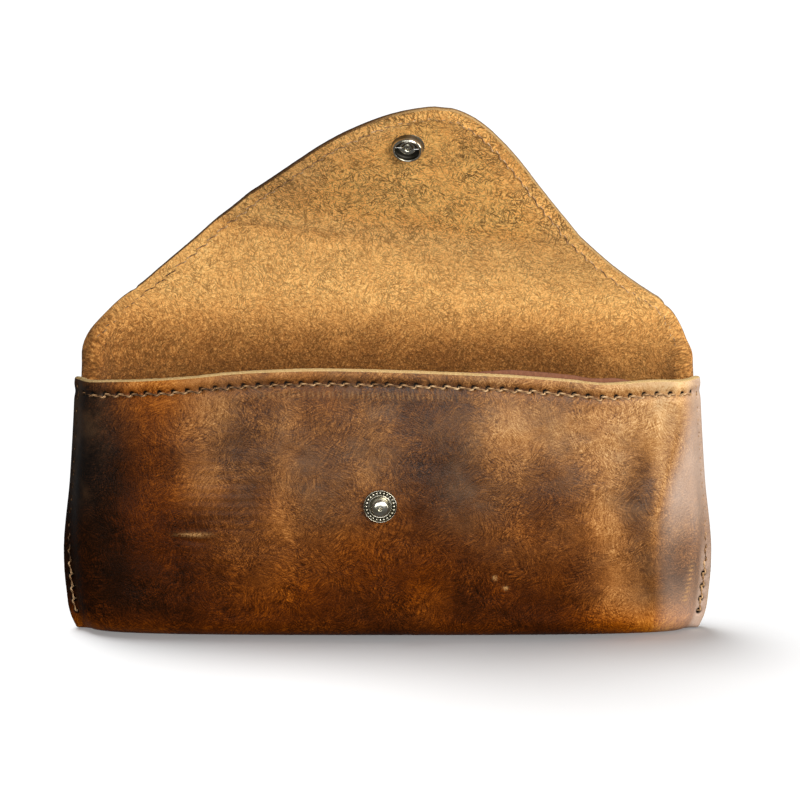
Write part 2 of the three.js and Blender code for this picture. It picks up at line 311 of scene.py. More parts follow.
def new_object(name, verts_mm, faces, materials, indices=None):
    mesh = bpy.data.meshes.new(name)
    mesh.from_pydata((np.asarray(verts_mm) * MM).tolist(), [], faces)
    for material in materials:
        mesh.materials.append(material)
    if indices is not None:
        mesh.polygons.foreach_set("material_index", np.asarray(indices, np.int32))
    mesh.polygons.foreach_set("use_smooth", np.full(len(mesh.polygons), True))
    working = bmesh.new()
    working.from_mesh(mesh)
    bmesh.ops.recalc_face_normals(working, faces=working.faces)
    working.to_mesh(mesh)
    working.free()
    return add_object(name, mesh)


def store(obj, name, values):
    """Stores one number, or one vector, for each vertex."""
    values = np.asarray(values, np.float32)
    if values.ndim == 1:
        attribute = obj.data.attributes.new(name, "FLOAT", "POINT")
        attribute.data.foreach_set("value", values)
    else:
        attribute = obj.data.attributes.new(name, "FLOAT_VECTOR", "POINT")
        attribute.data.foreach_set("vector", values.ravel())


def edge_loop(rows, columns):
    """The grid's border as (row, column) pairs, once round."""
    bottom = [(0, c) for c in range(columns - 1)]
    right = [(r, columns - 1) for r in range(rows - 1)]
    top = [(rows - 1, c) for c in range(columns - 1, 0, -1)]
    left = [(r, 0) for r in range(rows - 1, 0, -1)]
    return bottom + right + top + left


def sheet(name, grain, normals, flat, tones, materials, joined=(), thickness=LEATHER, crown=(0.3, 0.3, 0.3)):
    """A closed sheet of leather from its grain-side grid. flat holds each point's place on the flat hide,
    and tones is a dict of numbers for each point. The stored flat has a third part, from 0 on the grain side
    to 1 on the suede side. joined names the rows, first or last, that meet another piece and so have no
    rounded edge. crown is how far the cut edge swells out, from the grain side to the suede side."""
    rows, columns = grain.shape[:2]
    suede = grain - normals * np.broadcast_to(thickness, (rows, columns))[..., None]
    loop = edge_loop(rows, columns)
    loop_rows = np.array([r for r, _ in loop])
    loop_columns = np.array([c for _, c in loop])
    outer = grain[loop_rows, loop_columns]
    inner = suede[loop_rows, loop_columns]
    tangent = unit(np.roll(outer, -1, axis=0) - np.roll(outer, 1, axis=0))
    away = unit(np.cross(tangent, normals[loop_rows, loop_columns]))
    middle = grain[rows // 2, columns // 2]
    if np.sum(away * (outer - middle)) < 0:
        away = -away
    bulge = np.ones(len(loop))
    ends = {"first": 0, "last": rows - 1}
    for side in joined:
        bulge[loop_rows == ends[side]] = 0
    fray = np.random.default_rng(rows).normal(0, 0.05, (3, len(loop))) + 1
    rings = [outer + (inner - outer) * share + away * (bulge * swell * rough)[:, None]
             for share, swell, rough in zip(EDGE_RINGS, crown, fray)]
    count = rows * columns
    verts = np.concatenate([grain.reshape(-1, 3), suede.reshape(-1, 3), *rings])
    faces, slots = [], []
    for r in range(rows - 1):
        for c in range(columns - 1):
            a = r * columns + c
            quad = (a, a + 1, a + columns + 1, a + columns)
            faces.append(quad)
            slots.append(0)
            faces.append(tuple(count + v for v in reversed(quad)))
            slots.append(1)
    border = loop_rows * columns + loop_columns
    ring_borders = [2 * count + k * len(loop) + np.arange(len(loop)) for k in range(len(rings))]
    chains = [border, *ring_borders, border + count]
    for first, second in zip(chains, chains[1:]):
        for i in range(len(loop)):
            j = (i + 1) % len(loop)
            faces.append((int(first[i]), int(first[j]), int(second[j]), int(second[i])))
            slots.append(2)
    obj = new_object(name, verts, faces, materials, slots)
    # Where two pieces meet, the border is a sharp edge, so that it shades like the middle of the leather.
    border_row = np.full(len(verts), -1)
    for side in joined:
        places = ends[side] * columns + np.arange(columns)
        border_row[places] = ends[side]
        border_row[places + count] = rows + ends[side]
    pairs = np.zeros(2 * len(obj.data.edges), np.int32)
    obj.data.edges.foreach_get("vertices", pairs)
    first, second = border_row[pairs[::2]], border_row[pairs[1::2]]
    sharp = obj.data.attributes.new("sharp_edge", "BOOLEAN", "EDGE")
    sharp.data.foreach_set("value", (first == second) & (first >= 0))
    spread = flat.reshape(-1, 2)
    edge_flat = flat[loop_rows, loop_columns]
    layers = [np.zeros(count), np.ones(count)]
    layers += [np.full(len(loop), share) for share in EDGE_RINGS]
    places = np.concatenate([spread, spread, edge_flat, edge_flat, edge_flat])
    store(obj, "flat", np.concatenate([places, np.concatenate(layers)[:, None]], axis=1))
    for key, value in tones.items():
        edge_value = value[loop_rows, loop_columns]
        store(obj, key, np.concatenate([value.ravel(), value.ravel(), edge_value, edge_value, edge_value]))
    return obj


def sweep(name, paths, normals, radius, material, plies=3, spacing=PLY_SPACING, sides=12, stain_and_shade=0.0):
    """Threads or wires along paths, an array of (threads, points, 3), with a surface normal for each and how
    dark each is, from stain and painted shade. Their plies pass every spacing along them."""
    threads, steps = paths.shape[:2]
    tangent = unit(np.gradient(paths, axis=1))
    binormal = unit(np.cross(tangent, normals[:, None, :]))
    upward = np.cross(binormal, tangent)
    step = np.linalg.norm(np.diff(paths, axis=1), axis=2)
    run = np.concatenate([np.zeros((threads, 1)), np.cumsum(step, axis=1)], axis=1)
    turn = np.linspace(0, 2 * np.pi, sides, endpoint=False)
    lobe = 1 + 0.17 * np.cos(plies * turn[None, None] - run[..., None] * 2 * np.pi / spacing)
    reach = radius * lobe
    ring = (binormal[:, :, None] * (np.cos(turn) * reach)[..., None]
            + upward[:, :, None] * (np.sin(turn) * reach)[..., None])
    verts = (paths[:, :, None] + ring).reshape(-1, 3)
    faces = []
    for t in range(threads):
        start = t * steps * sides
        for s in range(steps - 1):
            for k in range(sides):
                a, b = start + s * sides + k, start + s * sides + (k + 1) % sides
                faces.append((a, b, b + sides, a + sides))
        faces.append(tuple(start + k for k in range(sides)))
        faces.append(tuple(start + (steps - 1) * sides + k for k in range(sides)))
    obj = new_object(name, verts, faces, [material])
    along = np.repeat(run[..., None], sides, axis=2)
    around = np.broadcast_to(turn, along.shape)
    number = np.broadcast_to(np.arange(threads)[:, None, None] * 7.0, along.shape)
    store(obj, "flat", np.stack([along, around, number], axis=-1).reshape(-1, 3))
    share = np.broadcast_to(np.linspace(0, 1, steps)[None, :, None], along.shape)
    store(obj, "share", share.ravel())
    dull = np.broadcast_to(np.broadcast_to(stain_and_shade, (threads,))[:, None, None], along.shape)
    store(obj, "stain_and_shade", dull.ravel())
    return obj


# One stitch between two holes: along as a share, across and height in millimetres. It leaves its hole a
# little to one side of the line of the holes, sinks into the leather halfway, and comes up on the other side.
STITCH_SHAPE = np.array([(0.0, 0.02, -0.9), (0.05, 0.2, -0.1), (0.13, 0.3, 0.2), (0.28, 0.18, 0.12),
                         (0.5, -0.06, -0.16), (0.7, -0.26, 0.1), (0.86, -0.38, 0.22), (0.95, -0.24, -0.1),
                         (1.0, -0.05, -0.9)])


def stitches(name, holes, normals, material, slant=1, lift=0.0, seed=1, stain_and_shade=0.0, radius=THREAD_RADIUS):
    """A row of stitches through the holes, each a short twisted thread that dips into the leather. lift and
    stain are numbers, or functions of the holes; stain darkens the thread, partly as a stain and partly as
    painted shade."""
    chance = np.random.default_rng(seed)
    start, end = holes[:-1], holes[1:]
    normal = unit(normals[:-1] + normals[1:])
    across = unit(np.cross(normal, end - start)) * slant
    shape = resample(STITCH_SHAPE * [STITCH_PITCH, 1, 1], 22) / [STITCH_PITCH, 1, 1]
    wander = chance.normal(0, 0.08, (len(start), 1, 1))
    lean = chance.normal(1, 0.2, (len(start), 1, 1))
    raised = lift(start)[:, None, None] if callable(lift) else lift
    path = (start[:, None] + (end - start)[:, None] * shape[None, :, :1]
            + across[:, None] * (shape[None, :, 1:2] * lean + wander)
            + normal[:, None] * (shape[None, :, 2:] + raised))
    dull = stain_and_shade(start) if callable(stain_and_shade) else stain_and_shade
    dull = np.clip(dull + chance.normal(0, 0.12, len(start)), 0, 1)
    return sweep(name, path, normal, radius, material, stain_and_shade=dull)


# ---- shader nodes ----
class Shader:
    """A material's node tree, with short calls for the nodes used here."""

    def __init__(self, name):
        self.material = bpy.data.materials.new(name)
        self.material.use_nodes = True
        self.tree = self.material.node_tree
        self.surface = self.tree.nodes["Principled BSDF"]

    def put(self, socket, value):
        if isinstance(value, bpy.types.NodeSocket):
            self.tree.links.new(value, socket)
        elif value is not None:
            socket.default_value = value

    def node(self, kind, *values, **settings):
        made = self.tree.nodes.new(kind)
        for key, value in settings.items():
            setattr(made, key, value)
        for i, value in enumerate(values):
            self.put(made.inputs[i], value)
        return made

    def number(self, name):
        return self.node("ShaderNodeAttribute", attribute_name=name).outputs["Fac"]

    def flat(self):
        """The place on the flat hide."""
        return self.node("ShaderNodeAttribute", attribute_name="flat").outputs["Vector"]

    def math(self, operation, *values):
        return self.node("ShaderNodeMath", *values, operation=operation).outputs[0]

    def add(self, *values):
        total = values[0]
        for value in values[1:]:
            total = self.math("ADD", total, value)
        return total

    def times(self, a, b):
        return self.math("MULTIPLY", a, b)

    def centred(self, value, gain):
        """(value - 0.5) * gain."""
        return self.times(self.math("SUBTRACT", value, 0.5), gain)

    def limits(self, value, low, high, out_low=0.0, out_high=1.0):
        return self.node("ShaderNodeMapRange", value, low, high, out_low, out_high,
                         interpolation_type="SMOOTHSTEP").outputs[0]

    def placed(self, vector, scale=(1, 1, 1), move=(0, 0, 0)):
        return self.node("ShaderNodeMapping", vector, move, (0, 0, 0), scale).outputs[0]

    def noise(self, vector, scale, detail=2.0, roughness=0.5, distortion=0.0):
        made = self.node("ShaderNodeTexNoise")
        self.put(made.inputs["Vector"], vector)
        self.put(made.inputs["Scale"], scale)
        self.put(made.inputs["Detail"], detail)
        self.put(made.inputs["Roughness"], roughness)
        self.put(made.inputs["Distortion"], distortion)
        return made.outputs["Fac"]

    def cells(self, vector, scale):
        made = self.node("ShaderNodeTexVoronoi", feature="F1")
        self.put(made.inputs["Vector"], vector)
        self.put(made.inputs["Scale"], scale)
        return made.outputs["Distance"]

    def strokes(self, vector, scale, stretch, turn):
        """Short hairs or scratches: noise drawn out in the direction turn."""
        drawn = self.node("ShaderNodeMapping", vector_type="TEXTURE")
        self.put(drawn.inputs["Vector"], vector)
        self.put(drawn.inputs["Rotation"], (0, 0, turn))
        self.put(drawn.inputs["Scale"], (stretch / scale, 1 / scale, 1 / scale))
        return self.noise(drawn.outputs[0], 1.0, 2.0, 0.6)

    def bent(self, vector, scale, reach):
        """The place moved about by low noise, so that lines drawn on it curve."""
        push = self.node("ShaderNodeTexNoise")
        self.put(push.inputs["Vector"], vector)
        self.put(push.inputs["Scale"], scale)
        offset = self.node("ShaderNodeVectorMath", push.outputs["Color"], (reach, reach, 0),
                           operation="MULTIPLY")
        return self.node("ShaderNodeVectorMath", vector, offset.outputs[0], operation="ADD").outputs[0]

    def ramp(self, value, stops):
        made = self.node("ShaderNodeValToRGB", value)
        band = made.color_ramp.elements
        while len(band) < len(stops):
            band.new(0.5)
        for element, (position, colour) in zip(band, stops):
            element.position = position
            element.color = (*[srgb(c) for c in colour], 1)
        return made.outputs[0]

    def mix(self, share, first, second, blend="MIX"):
        made = self.node("ShaderNodeMix", data_type="RGBA", blend_type=blend)
        self.put(made.inputs["Factor"], share)
        for name, value in (("A", first), ("B", second)):
            socket = next(s for s in made.inputs if s.name == name and s.type == "RGBA")
            if isinstance(value, tuple):
                value = (*[srgb(c) for c in value], 1)
            self.put(socket, value)
        return next(s for s in made.outputs if s.type == "RGBA")

    def bump(self, height, distance, strength):
        made = self.node("ShaderNodeBump")
        self.put(made.inputs["Height"], height)
        self.put(made.inputs["Distance"], distance * MM)
        self.put(made.inputs["Strength"], strength)
        return made.outputs[0]

    def finish(self, **values):
        for name, value in values.items():
            self.put(self.surface.inputs[name.replace("_", " ")], value)
        return self.material


def srgb(level):
    """A display level from 0 to 255 as linear light."""
    c = level / 255
    return c / 12.92 if c <= 0.04045 else ((c + 0.055) / 1.055) ** 2.4


def grain_material():
    """Oiled pull-up leather: dark where the wax is thick, light where it is stretched or rubbed. Its tone
    also carries painted shade, and it paints a sheen on the right side and shade in the stitch holes.
    """
    s = Shader("oiled_grain")
    flat = s.flat()
    curved = s.bent(flat, 0.07, 9.0)
    mottle = s.noise(flat, 0.2, 6, 0.65, 0.6)
    patches = s.noise(flat, 0.62, 4, 0.62, 0.4)
    speckle = s.noise(flat, 1.9, 3, 0.7)
    grit = s.noise(flat, 4.2, 2, 0.7)
    # Fine wisps lie combed one way in some places and another way in others.
    wisps = None
    for turn, scale, place in ((0.45, 2.5, 0.0), (1.1, 2.2, 37.0), (1.9, 2.4, 71.0), (2.7, 2.6, 113.0)):
        here = s.limits(s.noise(s.placed(flat, move=(place, place, place)), 0.1, 2, 0.5), 0.4, 0.6)
        comb = s.times(s.centred(s.strokes(curved, scale, 6.0, turn), 1.0), here)
        wisps = comb if wisps is None else s.add(wisps, comb)
    fine = s.add(s.times(wisps, 0.56), s.centred(speckle, 0.4), s.centred(grit, 0.6))
    tone = s.add(s.number("tone"), s.centred(mottle, 0.3), s.centred(patches, 0.2), fine)
    colour = s.ramp(tone, [(0.0, (15, 9, 6)), (0.18, (34, 20, 10)), (0.36, (66, 38, 15)),
                           (0.52, (104, 66, 30)), (0.68, (152, 104, 54)), (0.84, (194, 148, 94)),
                           (1.0, (222, 186, 136))])
    # Some patches in the upper part are greyer: partly wax bloom, partly a painted sheen haze. The lower part
    # glows orange.
    warm = s.number("warm")
    bloom_and_sheen = s.limits(s.noise(flat, 0.07, 3, 0.6), 0.44, 0.7)
    bloom_and_sheen = s.times(bloom_and_sheen, s.limits(warm, 0.2, 0.7, 0.4, 0.0))
    colour = s.mix(bloom_and_sheen, colour, (108, 84, 62))
    colour = s.mix(warm, colour, (250, 190, 30), "MULTIPLY")
    # Painted sheen: pale is a pale grey band where the front turns into the right side.
    pale = s.times(s.number("pale"), s.limits(speckle, 0.3, 0.6, 0.8, 1.0))
    colour = s.mix(pale, colour, (184, 161, 145))
    # Painted shade: the stitch holes are darkened to near black.
    pit = s.limits(s.number("pit"), 0.2, 0.6)
    colour = s.mix(pit, colour, (12, 7, 4))
    worn = s.times(s.number("scuff"), s.limits(s.noise(flat, 1.7, 3, 0.7), 0.35, 0.6))
    colour = s.mix(worn, colour, (214, 164, 104))
    pebble = s.cells(s.placed(flat, (1, 1.25, 1)), 1.7)
    height = s.add(s.times(pebble, 0.3), s.centred(speckle, 0.6), s.times(wisps, 0.5), s.centred(mottle, 0.8))
    rough = s.add(0.44, s.centred(mottle, 0.3), s.centred(speckle, 0.16), s.times(pit, 0.4),
                  s.times(wisps, 0.3))
    gloss = s.limits(warm, 0.0, 0.8, 0.26, 0.08)
    return s.finish(Base_Color=colour, Roughness=rough, Normal=s.bump(height, 0.16, 0.8),
                    Specular_IOR_Level=gloss)


def suede_material():
    """The raw flesh side: tan nap with short dark fibres lying every way."""
    s = Shader("raw_suede")
    flat = s.flat()
    curved = s.bent(flat, 0.1, 5.0)
    broad = s.noise(flat, 0.1, 4, 0.6)
    tufts = s.noise(flat, 0.9, 5, 0.8, 0.2)
    nap = s.noise(flat, 2.3, 3, 0.8)
    dark = None
    for turn, scale, stretch, place in ((0.7, 2.5, 4.2, 0.0), (1.35, 2.1, 5.0, 37.0), (2.1, 2.5, 4.2, 71.0),
                                        (2.7, 2.2, 4.8, 113.0), (0.1, 2.6, 3.6, 151.0)):
        patchy = s.noise(s.placed(flat, move=(place, place, place)), 0.16, 3, 0.6)
        here = s.limits(patchy, 0.36, 0.6, 0.3, 1.0)
        fibres = s.times(s.limits(s.strokes(curved, scale, stretch, turn), 0.545, 0.62), here)
        dark = fibres if dark is None else s.math("MAXIMUM", dark, fibres)
    tone = s.add(0.65, s.centred(broad, 0.24), s.centred(tufts, 0.8), s.centred(nap, 0.9),
                 s.times(s.number("shade"), -0.3))
    colour = s.ramp(tone, [(0.0, (70, 38, 10)), (0.25, (140, 88, 38)), (0.5, (208, 148, 80)),
                           (0.72, (244, 188, 112)), (1.0, (255, 220, 146))])
    lit = s.limits(s.times(s.number("shade"), -1.0), 0.0, 0.5)
    colour = s.mix(lit, colour, (255, 236, 208), "MULTIPLY")
    share = s.times(s.number("flecks"), s.limits(broad, 0.3, 0.7, 0.75, 1.0))
    colour = s.mix(s.times(dark, share), colour, (70, 44, 12))
    # Painted shade: the stitch holes are a little darker.
    pit = s.limits(s.number("pit"), 0.3, 0.8)
    colour = s.mix(s.times(pit, 0.25), colour, (70, 42, 20))
    height = s.add(s.centred(tufts, 1.2), s.times(dark, -0.35), s.centred(nap, 0.8))
    return s.finish(Base_Color=colour, Roughness=0.92, Normal=s.bump(height, 0.2, 1.0), Sheen_Weight=0.05,
                    Sheen_Roughness=0.6, Specular_IOR_Level=0.12)


def edge_material():
    """The cut edge: pale fibres, or brown where rim is low. rim is partly painted light and shade: edges
    towards the light are painted paler and those away from it darker.
    """
    s = Shader("cut_edge")
    flat = s.flat()
    layer = s.node("ShaderNodeSeparateXYZ", flat).outputs[2]
    fibre = s.noise(s.placed(flat, (1.2, 1.2, 5)), 1.6, 3, 0.7)
    tone = s.add(s.limits(layer, 0.1, 0.9, -0.14, 0.12), s.centred(fibre, 0.7), s.number("rim"))
    colour = s.ramp(tone, [(0.0, (34, 20, 11)), (0.3, (92, 60, 32)), (0.6, (178, 142, 92)),
                           (0.85, (222, 196, 140)), (1.0, (236, 214, 164))])
    return s.finish(Base_Color=colour, Roughness=0.8, Normal=s.bump(fibre, 0.2, 0.9), Specular_IOR_Level=0.2)


def facing_material():
    """The strip behind the mouth: split leather with a rosy brown cut edge."""
    s = Shader("split_facing")
    flat = s.flat()
    tufts = s.noise(flat, 1.1, 4, 0.7, 0.3)
    specks = s.limits(s.noise(flat, 2.2, 3, 0.7), 0.6, 0.7)
    tone = s.add(0.45, s.centred(tufts, 0.8))
    colour = s.ramp(tone, [(0.0, (70, 40, 28)), (0.5, (128, 84, 62)), (1.0, (176, 126, 98))])
    colour = s.mix(s.times(specks, 0.7), colour, (52, 30, 20))
    return s.finish(Base_Color=colour, Roughness=0.88, Normal=s.bump(tufts, 0.25, 0.8),
                    Specular_IOR_Level=0.2)


def thread_material():
    """Waxed thread in three plies, painted darker in the middle of each stitch where it dips into the
    leather, a painted shade, so brightest where it bends over the edge of a hole.
    """
    s = Shader("waxed_thread")
    flat = s.flat()
    axes = s.node("ShaderNodeSeparateXYZ", flat)
    along_turn = s.times(axes.outputs[0], 2 * math.pi / PLY_SPACING)
    ply = s.math("COSINE", s.math("SUBTRACT", s.times(axes.outputs[1], 3.0), along_turn))
    fuzz = s.noise(flat, 3.0, 3, 0.7)
    uneven = s.noise(s.placed(flat, (0.15, 0.15, 1.0)), 1.0, 2, 0.6)
    # Painted shade: each stitch is darker in its middle, where it dips into the leather.
    off_middle = s.math("ABSOLUTE", s.math("SUBTRACT", s.number("share"), 0.5))
    dip_shade = s.math("MAXIMUM", s.math("SUBTRACT", 1.0, s.times(off_middle, 4.0)), 0.0)
    tone = s.add(0.64, s.times(ply, 0.14), s.centred(fuzz, 0.5), s.centred(uneven, 0.5), s.times(dip_shade, -0.3),
                 s.times(s.number("stain_and_shade"), -0.62))
    colour = s.ramp(tone, [(0.0, (40, 26, 14)), (0.2, (84, 58, 34)), (0.45, (152, 114, 76)),
                           (0.7, (206, 170, 126)), (1.0, (238, 212, 176))])
    return s.finish(Base_Color=colour, Roughness=0.7, Normal=s.bump(fuzz, 0.08, 0.7), Specular_IOR_Level=0.25)


def nickel_material():
    """Bright nickel plate, a little yellow, dark in the grooves and hollows, partly tarnish and partly
    painted shade and dark reflection.
    """
    s = Shader("nickel")
    place = s.node("ShaderNodeTexCoord").outputs["Object"]
    tarnish_and_shade = s.number("tarnish_and_shade")
    tarnish = s.noise(place, 420, 3, 0.55)
    colour = s.ramp(tarnish, [(0.3, (176, 168, 142)), (0.5, (206, 201, 184)), (0.75, (222, 219, 208))])
    # Painted shade and dark reflection, with some tarnish, darken the grooves and hollows.
    colour = s.mix(tarnish_and_shade, colour, (38, 34, 24))
    rough = s.add(0.2, s.centred(tarnish, 0.14), s.times(tarnish_and_shade, 0.35))
    return s.finish(Base_Color=colour, Roughness=rough, Metallic=1.0)


def wire_material():
    s = Shader("spring_wire")
    place = s.node("ShaderNodeTexCoord").outputs["Object"]
    rough = s.add(0.18, s.centred(s.noise(place, 1200, 2, 0.6), 0.2))
    return s.finish(Base_Color=(0.82, 0.8, 0.74, 1), Roughness=rough, Metallic=1.0)


# ---- camera and studio ----
CAMERA_RISE = math.radians(13)
CAMERA_DISTANCE = 1100.0
PICTURE_WIDTH = 226.1  # millimetres across the picture at the case
CAMERA_TARGET = np.array([3.6, -6.0, 68.5])


def build_camera():
    camera = bpy.data.cameras.new("camera")
    camera.sensor_width = 36
    camera.lens = 36 * CAMERA_DISTANCE / PICTURE_WIDTH
    camera.clip_end = 50
    obj = add_object("camera", camera)
    back = np.array([0, -math.cos(CAMERA_RISE), math.sin(CAMERA_RISE)])
    obj.location = (CAMERA_TARGET + back * CAMERA_DISTANCE) * MM
    obj.rotation_euler = (math.pi / 2 - CAMERA_RISE, 0, 0)
    bpy.context.scene.camera = obj


def area_light(name, place, aim, size, watts, colour=(1, 1, 1)):
    light = bpy.data.lights.new(name, "AREA")
    light.shape = "RECTANGLE"
    light.size, light.size_y = size
    light.energy = watts
    light.color = colour
    obj = add_object(name, light)
    obj.location = place
    obj.rotation_euler = (Vector(aim) - Vector(place)).to_track_quat("-Z", "Y").to_euler()
    return obj


def build_studio():
    scene = bpy.context.scene
    scene.view_settings.view_transform = "Standard"
    world = bpy.data.worlds.new("studio")
    scene.world = world
    world.use_nodes = True
    background = world.node_tree.nodes["Background"]
    background.inputs[0].default_value = (1, 1, 1, 1)
    background.inputs[1].default_value = 0.13

    mesh = bpy.data.meshes.new("floor")
    reach = 6.0  # metres
    corners = [(-reach, -reach, 0), (reach, -reach, 0), (reach, reach, 0), (-reach, reach, 0)]
    mesh.from_pydata(corners, [], [(0, 1, 2, 3)])
    floor = add_object("floor", mesh)
    floor.location.z = -0.0002
    # The real table was cut away to white, so it throws no light back on the case.
    floor.visible_diffuse = False
    floor.visible_glossy = False
    s = Shader("pale_floor")
    mesh.materials.append(s.finish(Base_Color=(0.86, 0.86, 0.86, 1), Roughness=0.9, Specular_IOR_Level=0.1))

    case_only = bpy.data.collections.new("lit_by_studio")
    case_only.objects.link(floor)
    case_only.collection_objects[0].light_linking.link_state = "EXCLUDE"
    lights = [
        area_light("key", (0.5, -0.75, 0.5), (0, 0, 0.08), (0.6, 0.6), 10.5, (1.0, 0.97, 0.92)),
        area_light("rim", (0.75, 0.02, 0.22), (0.08, 0, 0.05), (0.35, 0.5), 3.4, (1.0, 0.98, 0.95)),
        area_light("front", (-0.1, -0.9, 0.25), (0, 0, 0.1), (0.8, 0.5), 4),
    ]
    for light in lights:
        light.light_linking.receiver_collection = case_only
    # The floor has a light of its own, so that it stays white and the case's shadow falls right and forward.
    lit = bpy.data.collections.new("lit_by_floor_lights")
    lit.objects.link(floor)
    suns = (("floor_sun", 2.9, (0.3, -0.26, -1.0), True), ("floor_fill", 0.9, (0, 0, -1.0), False))
    for name, energy, aim, casts in suns:
        sun = bpy.data.lights.new(name, "SUN")
        sun.energy = energy
        sun.angle = math.radians(34)
        sun.use_shadow = casts
        lamp = add_object(name, sun)
        lamp.rotation_euler = Vector(aim).to_track_quat("-Z", "Y").to_euler()
        lamp.light_linking.receiver_collection = lit


# ---- the front leaf ----
FRONT_COLUMNS = 371
EDGE_STEP = 0.38  # row spacing near the mouth, a tenth of the stitch margin
SEAM_ROW = round(STITCH_MARGIN / EDGE_STEP)  # rows down from the mouth edge

# Places on the front leaf, (x, z), with how far each reaches (x, z) and how much it lightens or darkens. Most
# are the leather's own patchy tone; the broad dark one at x -90 is painted shade down the left side, the
# light ones at the right side, x 72 to 84, are painted sheen and highlight, and the light ones along the
# bottom edge are painted light thrown up from the floor.
FRONT_PATCHES = [
    (-68, 66, 14, 12, 0.14), (-52, 66, 8, 8, 0.14), (-52, 47, 9, 8, 0.14), (-41, 58, 8, 7, -0.1),
    (-42, 43, 7, 6, -0.1), (-29, 45, 3.4, 26, 0.1), (-5, 49, 8, 6, 0.08), (-15, 55, 9, 8, -0.06),
    (16, 46, 12, 20, -0.17), (31, 60, 8, 13, 0.22), (50, 62, 15, 10, 0.22), (68, 62, 9, 12, 0.12),
    (50, 40, 8, 9, -0.1), (54, 22, 10, 8, -0.1), (63, 34, 5, 22, 0.18), (71, 46, 4, 9, -0.12),
    (76, 40, 2.4, 26, 0.12), (12, 12, 7, 8, 0.12), (24, 10, 10, 8, -0.1), (40, 8, 10, 8, -0.08),
    (-90, 44, 21, 62, -0.46), (82, 40, 10, 40, 0.1), (78, 4, 15, 11, 0.36), (60, 8, 8, 8, 0.1),
    (-86, 2, 9, 6, 0.3), (-40, 13, 26, 5, 0.05), (-60, 20, 13, 14, -0.1), (82, 70, 9, 11, 0.2),
    (72, 74, 12, 6, 0.12), (40, 74, 20, 4, 0.07), (-60, 74, 18, 6, 0.13), (-74, 1, 22, 5, 0.13),
    (55, 33, 8, 14, 0.13), (66, 18, 7, 10, 0.12), (75, 54, 5, 6, -0.08), (44, 46, 5, 18, -0.05),
    (80, 19, 7, 10, -0.16), (84, 0, 14, 6, 0.16), (-88, 12, 6, 22, 0.14), (-80, -2, 40, 6, 0.1),
    (-68, 22, 7, 18, 0.07), (-54, 34, 12, 6, -0.12), (-72, 72, 8, 8, 0.08), (-46, 65, 6, 6, 0.08),
    (4, 73, 16, 7, -0.12), (78, 60, 3, 18, 0.08),
]


def front_tone(x, z, across):
    """How light the front leaf is before its fine grain, 0 to 1, and how warm."""
    tone = 0.5 + 0.1 * cloud(across, z, 34, 11) + 0.07 * cloud(across, z, 13, 12)
    bend_x = x + 3.0 * cloud(across, z, 18, 13)
    bend_z = z + 3.0 * cloud(across, z, 18, 14)
    for at_x, at_z, reach_x, reach_z, gain in FRONT_PATCHES:
        tone = tone + gain * np.exp(-(((bend_x - at_x) / reach_x) ** 2) - ((bend_z - at_z) / reach_z) ** 2)
    # Painted shade: darker towards the bottom.
    tone = tone - 0.15 * (1 - smoothstep(2, 34, z))
    warm = 0.85 * (1 - smoothstep(6, 58, z)) + 0.3 * (0.5 + cloud(across, z, 26, 15))
    warm = warm + 0.5 * bell(x + 66, 14)
    warm = warm * (1 - 0.75 * smoothstep(40, 76, x) * smoothstep(0, 14, z))
    return tone, np.clip(warm, 0, 1)


def ridge_line(z):
    """Where across the front the soft ridge runs, at a height."""
    return 74.5 + 7.5 * smoothstep(24, 66, z) + 0.8 * np.sin(z / 9)


def front_relief(x, z, across):
    """How far the front leaf stands off its plain shape, in millimetres."""
    inside = smoothstep(0, 12, half_width(z) - np.abs(x)) * smoothstep(1, 12, z)
    relief = 0.7 * cloud(across, z, 42, 21, 2) + 0.28 * cloud(across, z, 15, 22, 2)
    relief += 0.1 * cloud(across * 0.45, z, 5, 23, 2)
    # A soft ridge runs down where the face turns into the right side.
    ridge = x - ridge_line(z)
    relief += 0.6 * bell(ridge, 2.0) * smoothstep(6, 22, z)
    relief -= 0.45 * bell(ridge + 4.5, 3.2) * smoothstep(6, 22, z)
    # Short creases, and fine ones pressed sideways to the left of the stud.
    relief -= 0.4 * bell(z - 29.5 - 0.3 * np.sin(x / 2), 0.8) * bell(x + 54.4, 4.6)
    relief += 0.25 * bell(z - 31.0, 0.9) * bell(x + 54.4, 4.8)
    fold = np.sin(z * 2 * np.pi / 2.6 + 1.6 * cloud(across, z, 9, 24))
    relief += 0.09 * fold * bell(z - 40, 14) * bell(x + 47, 14)
    return relief * inside


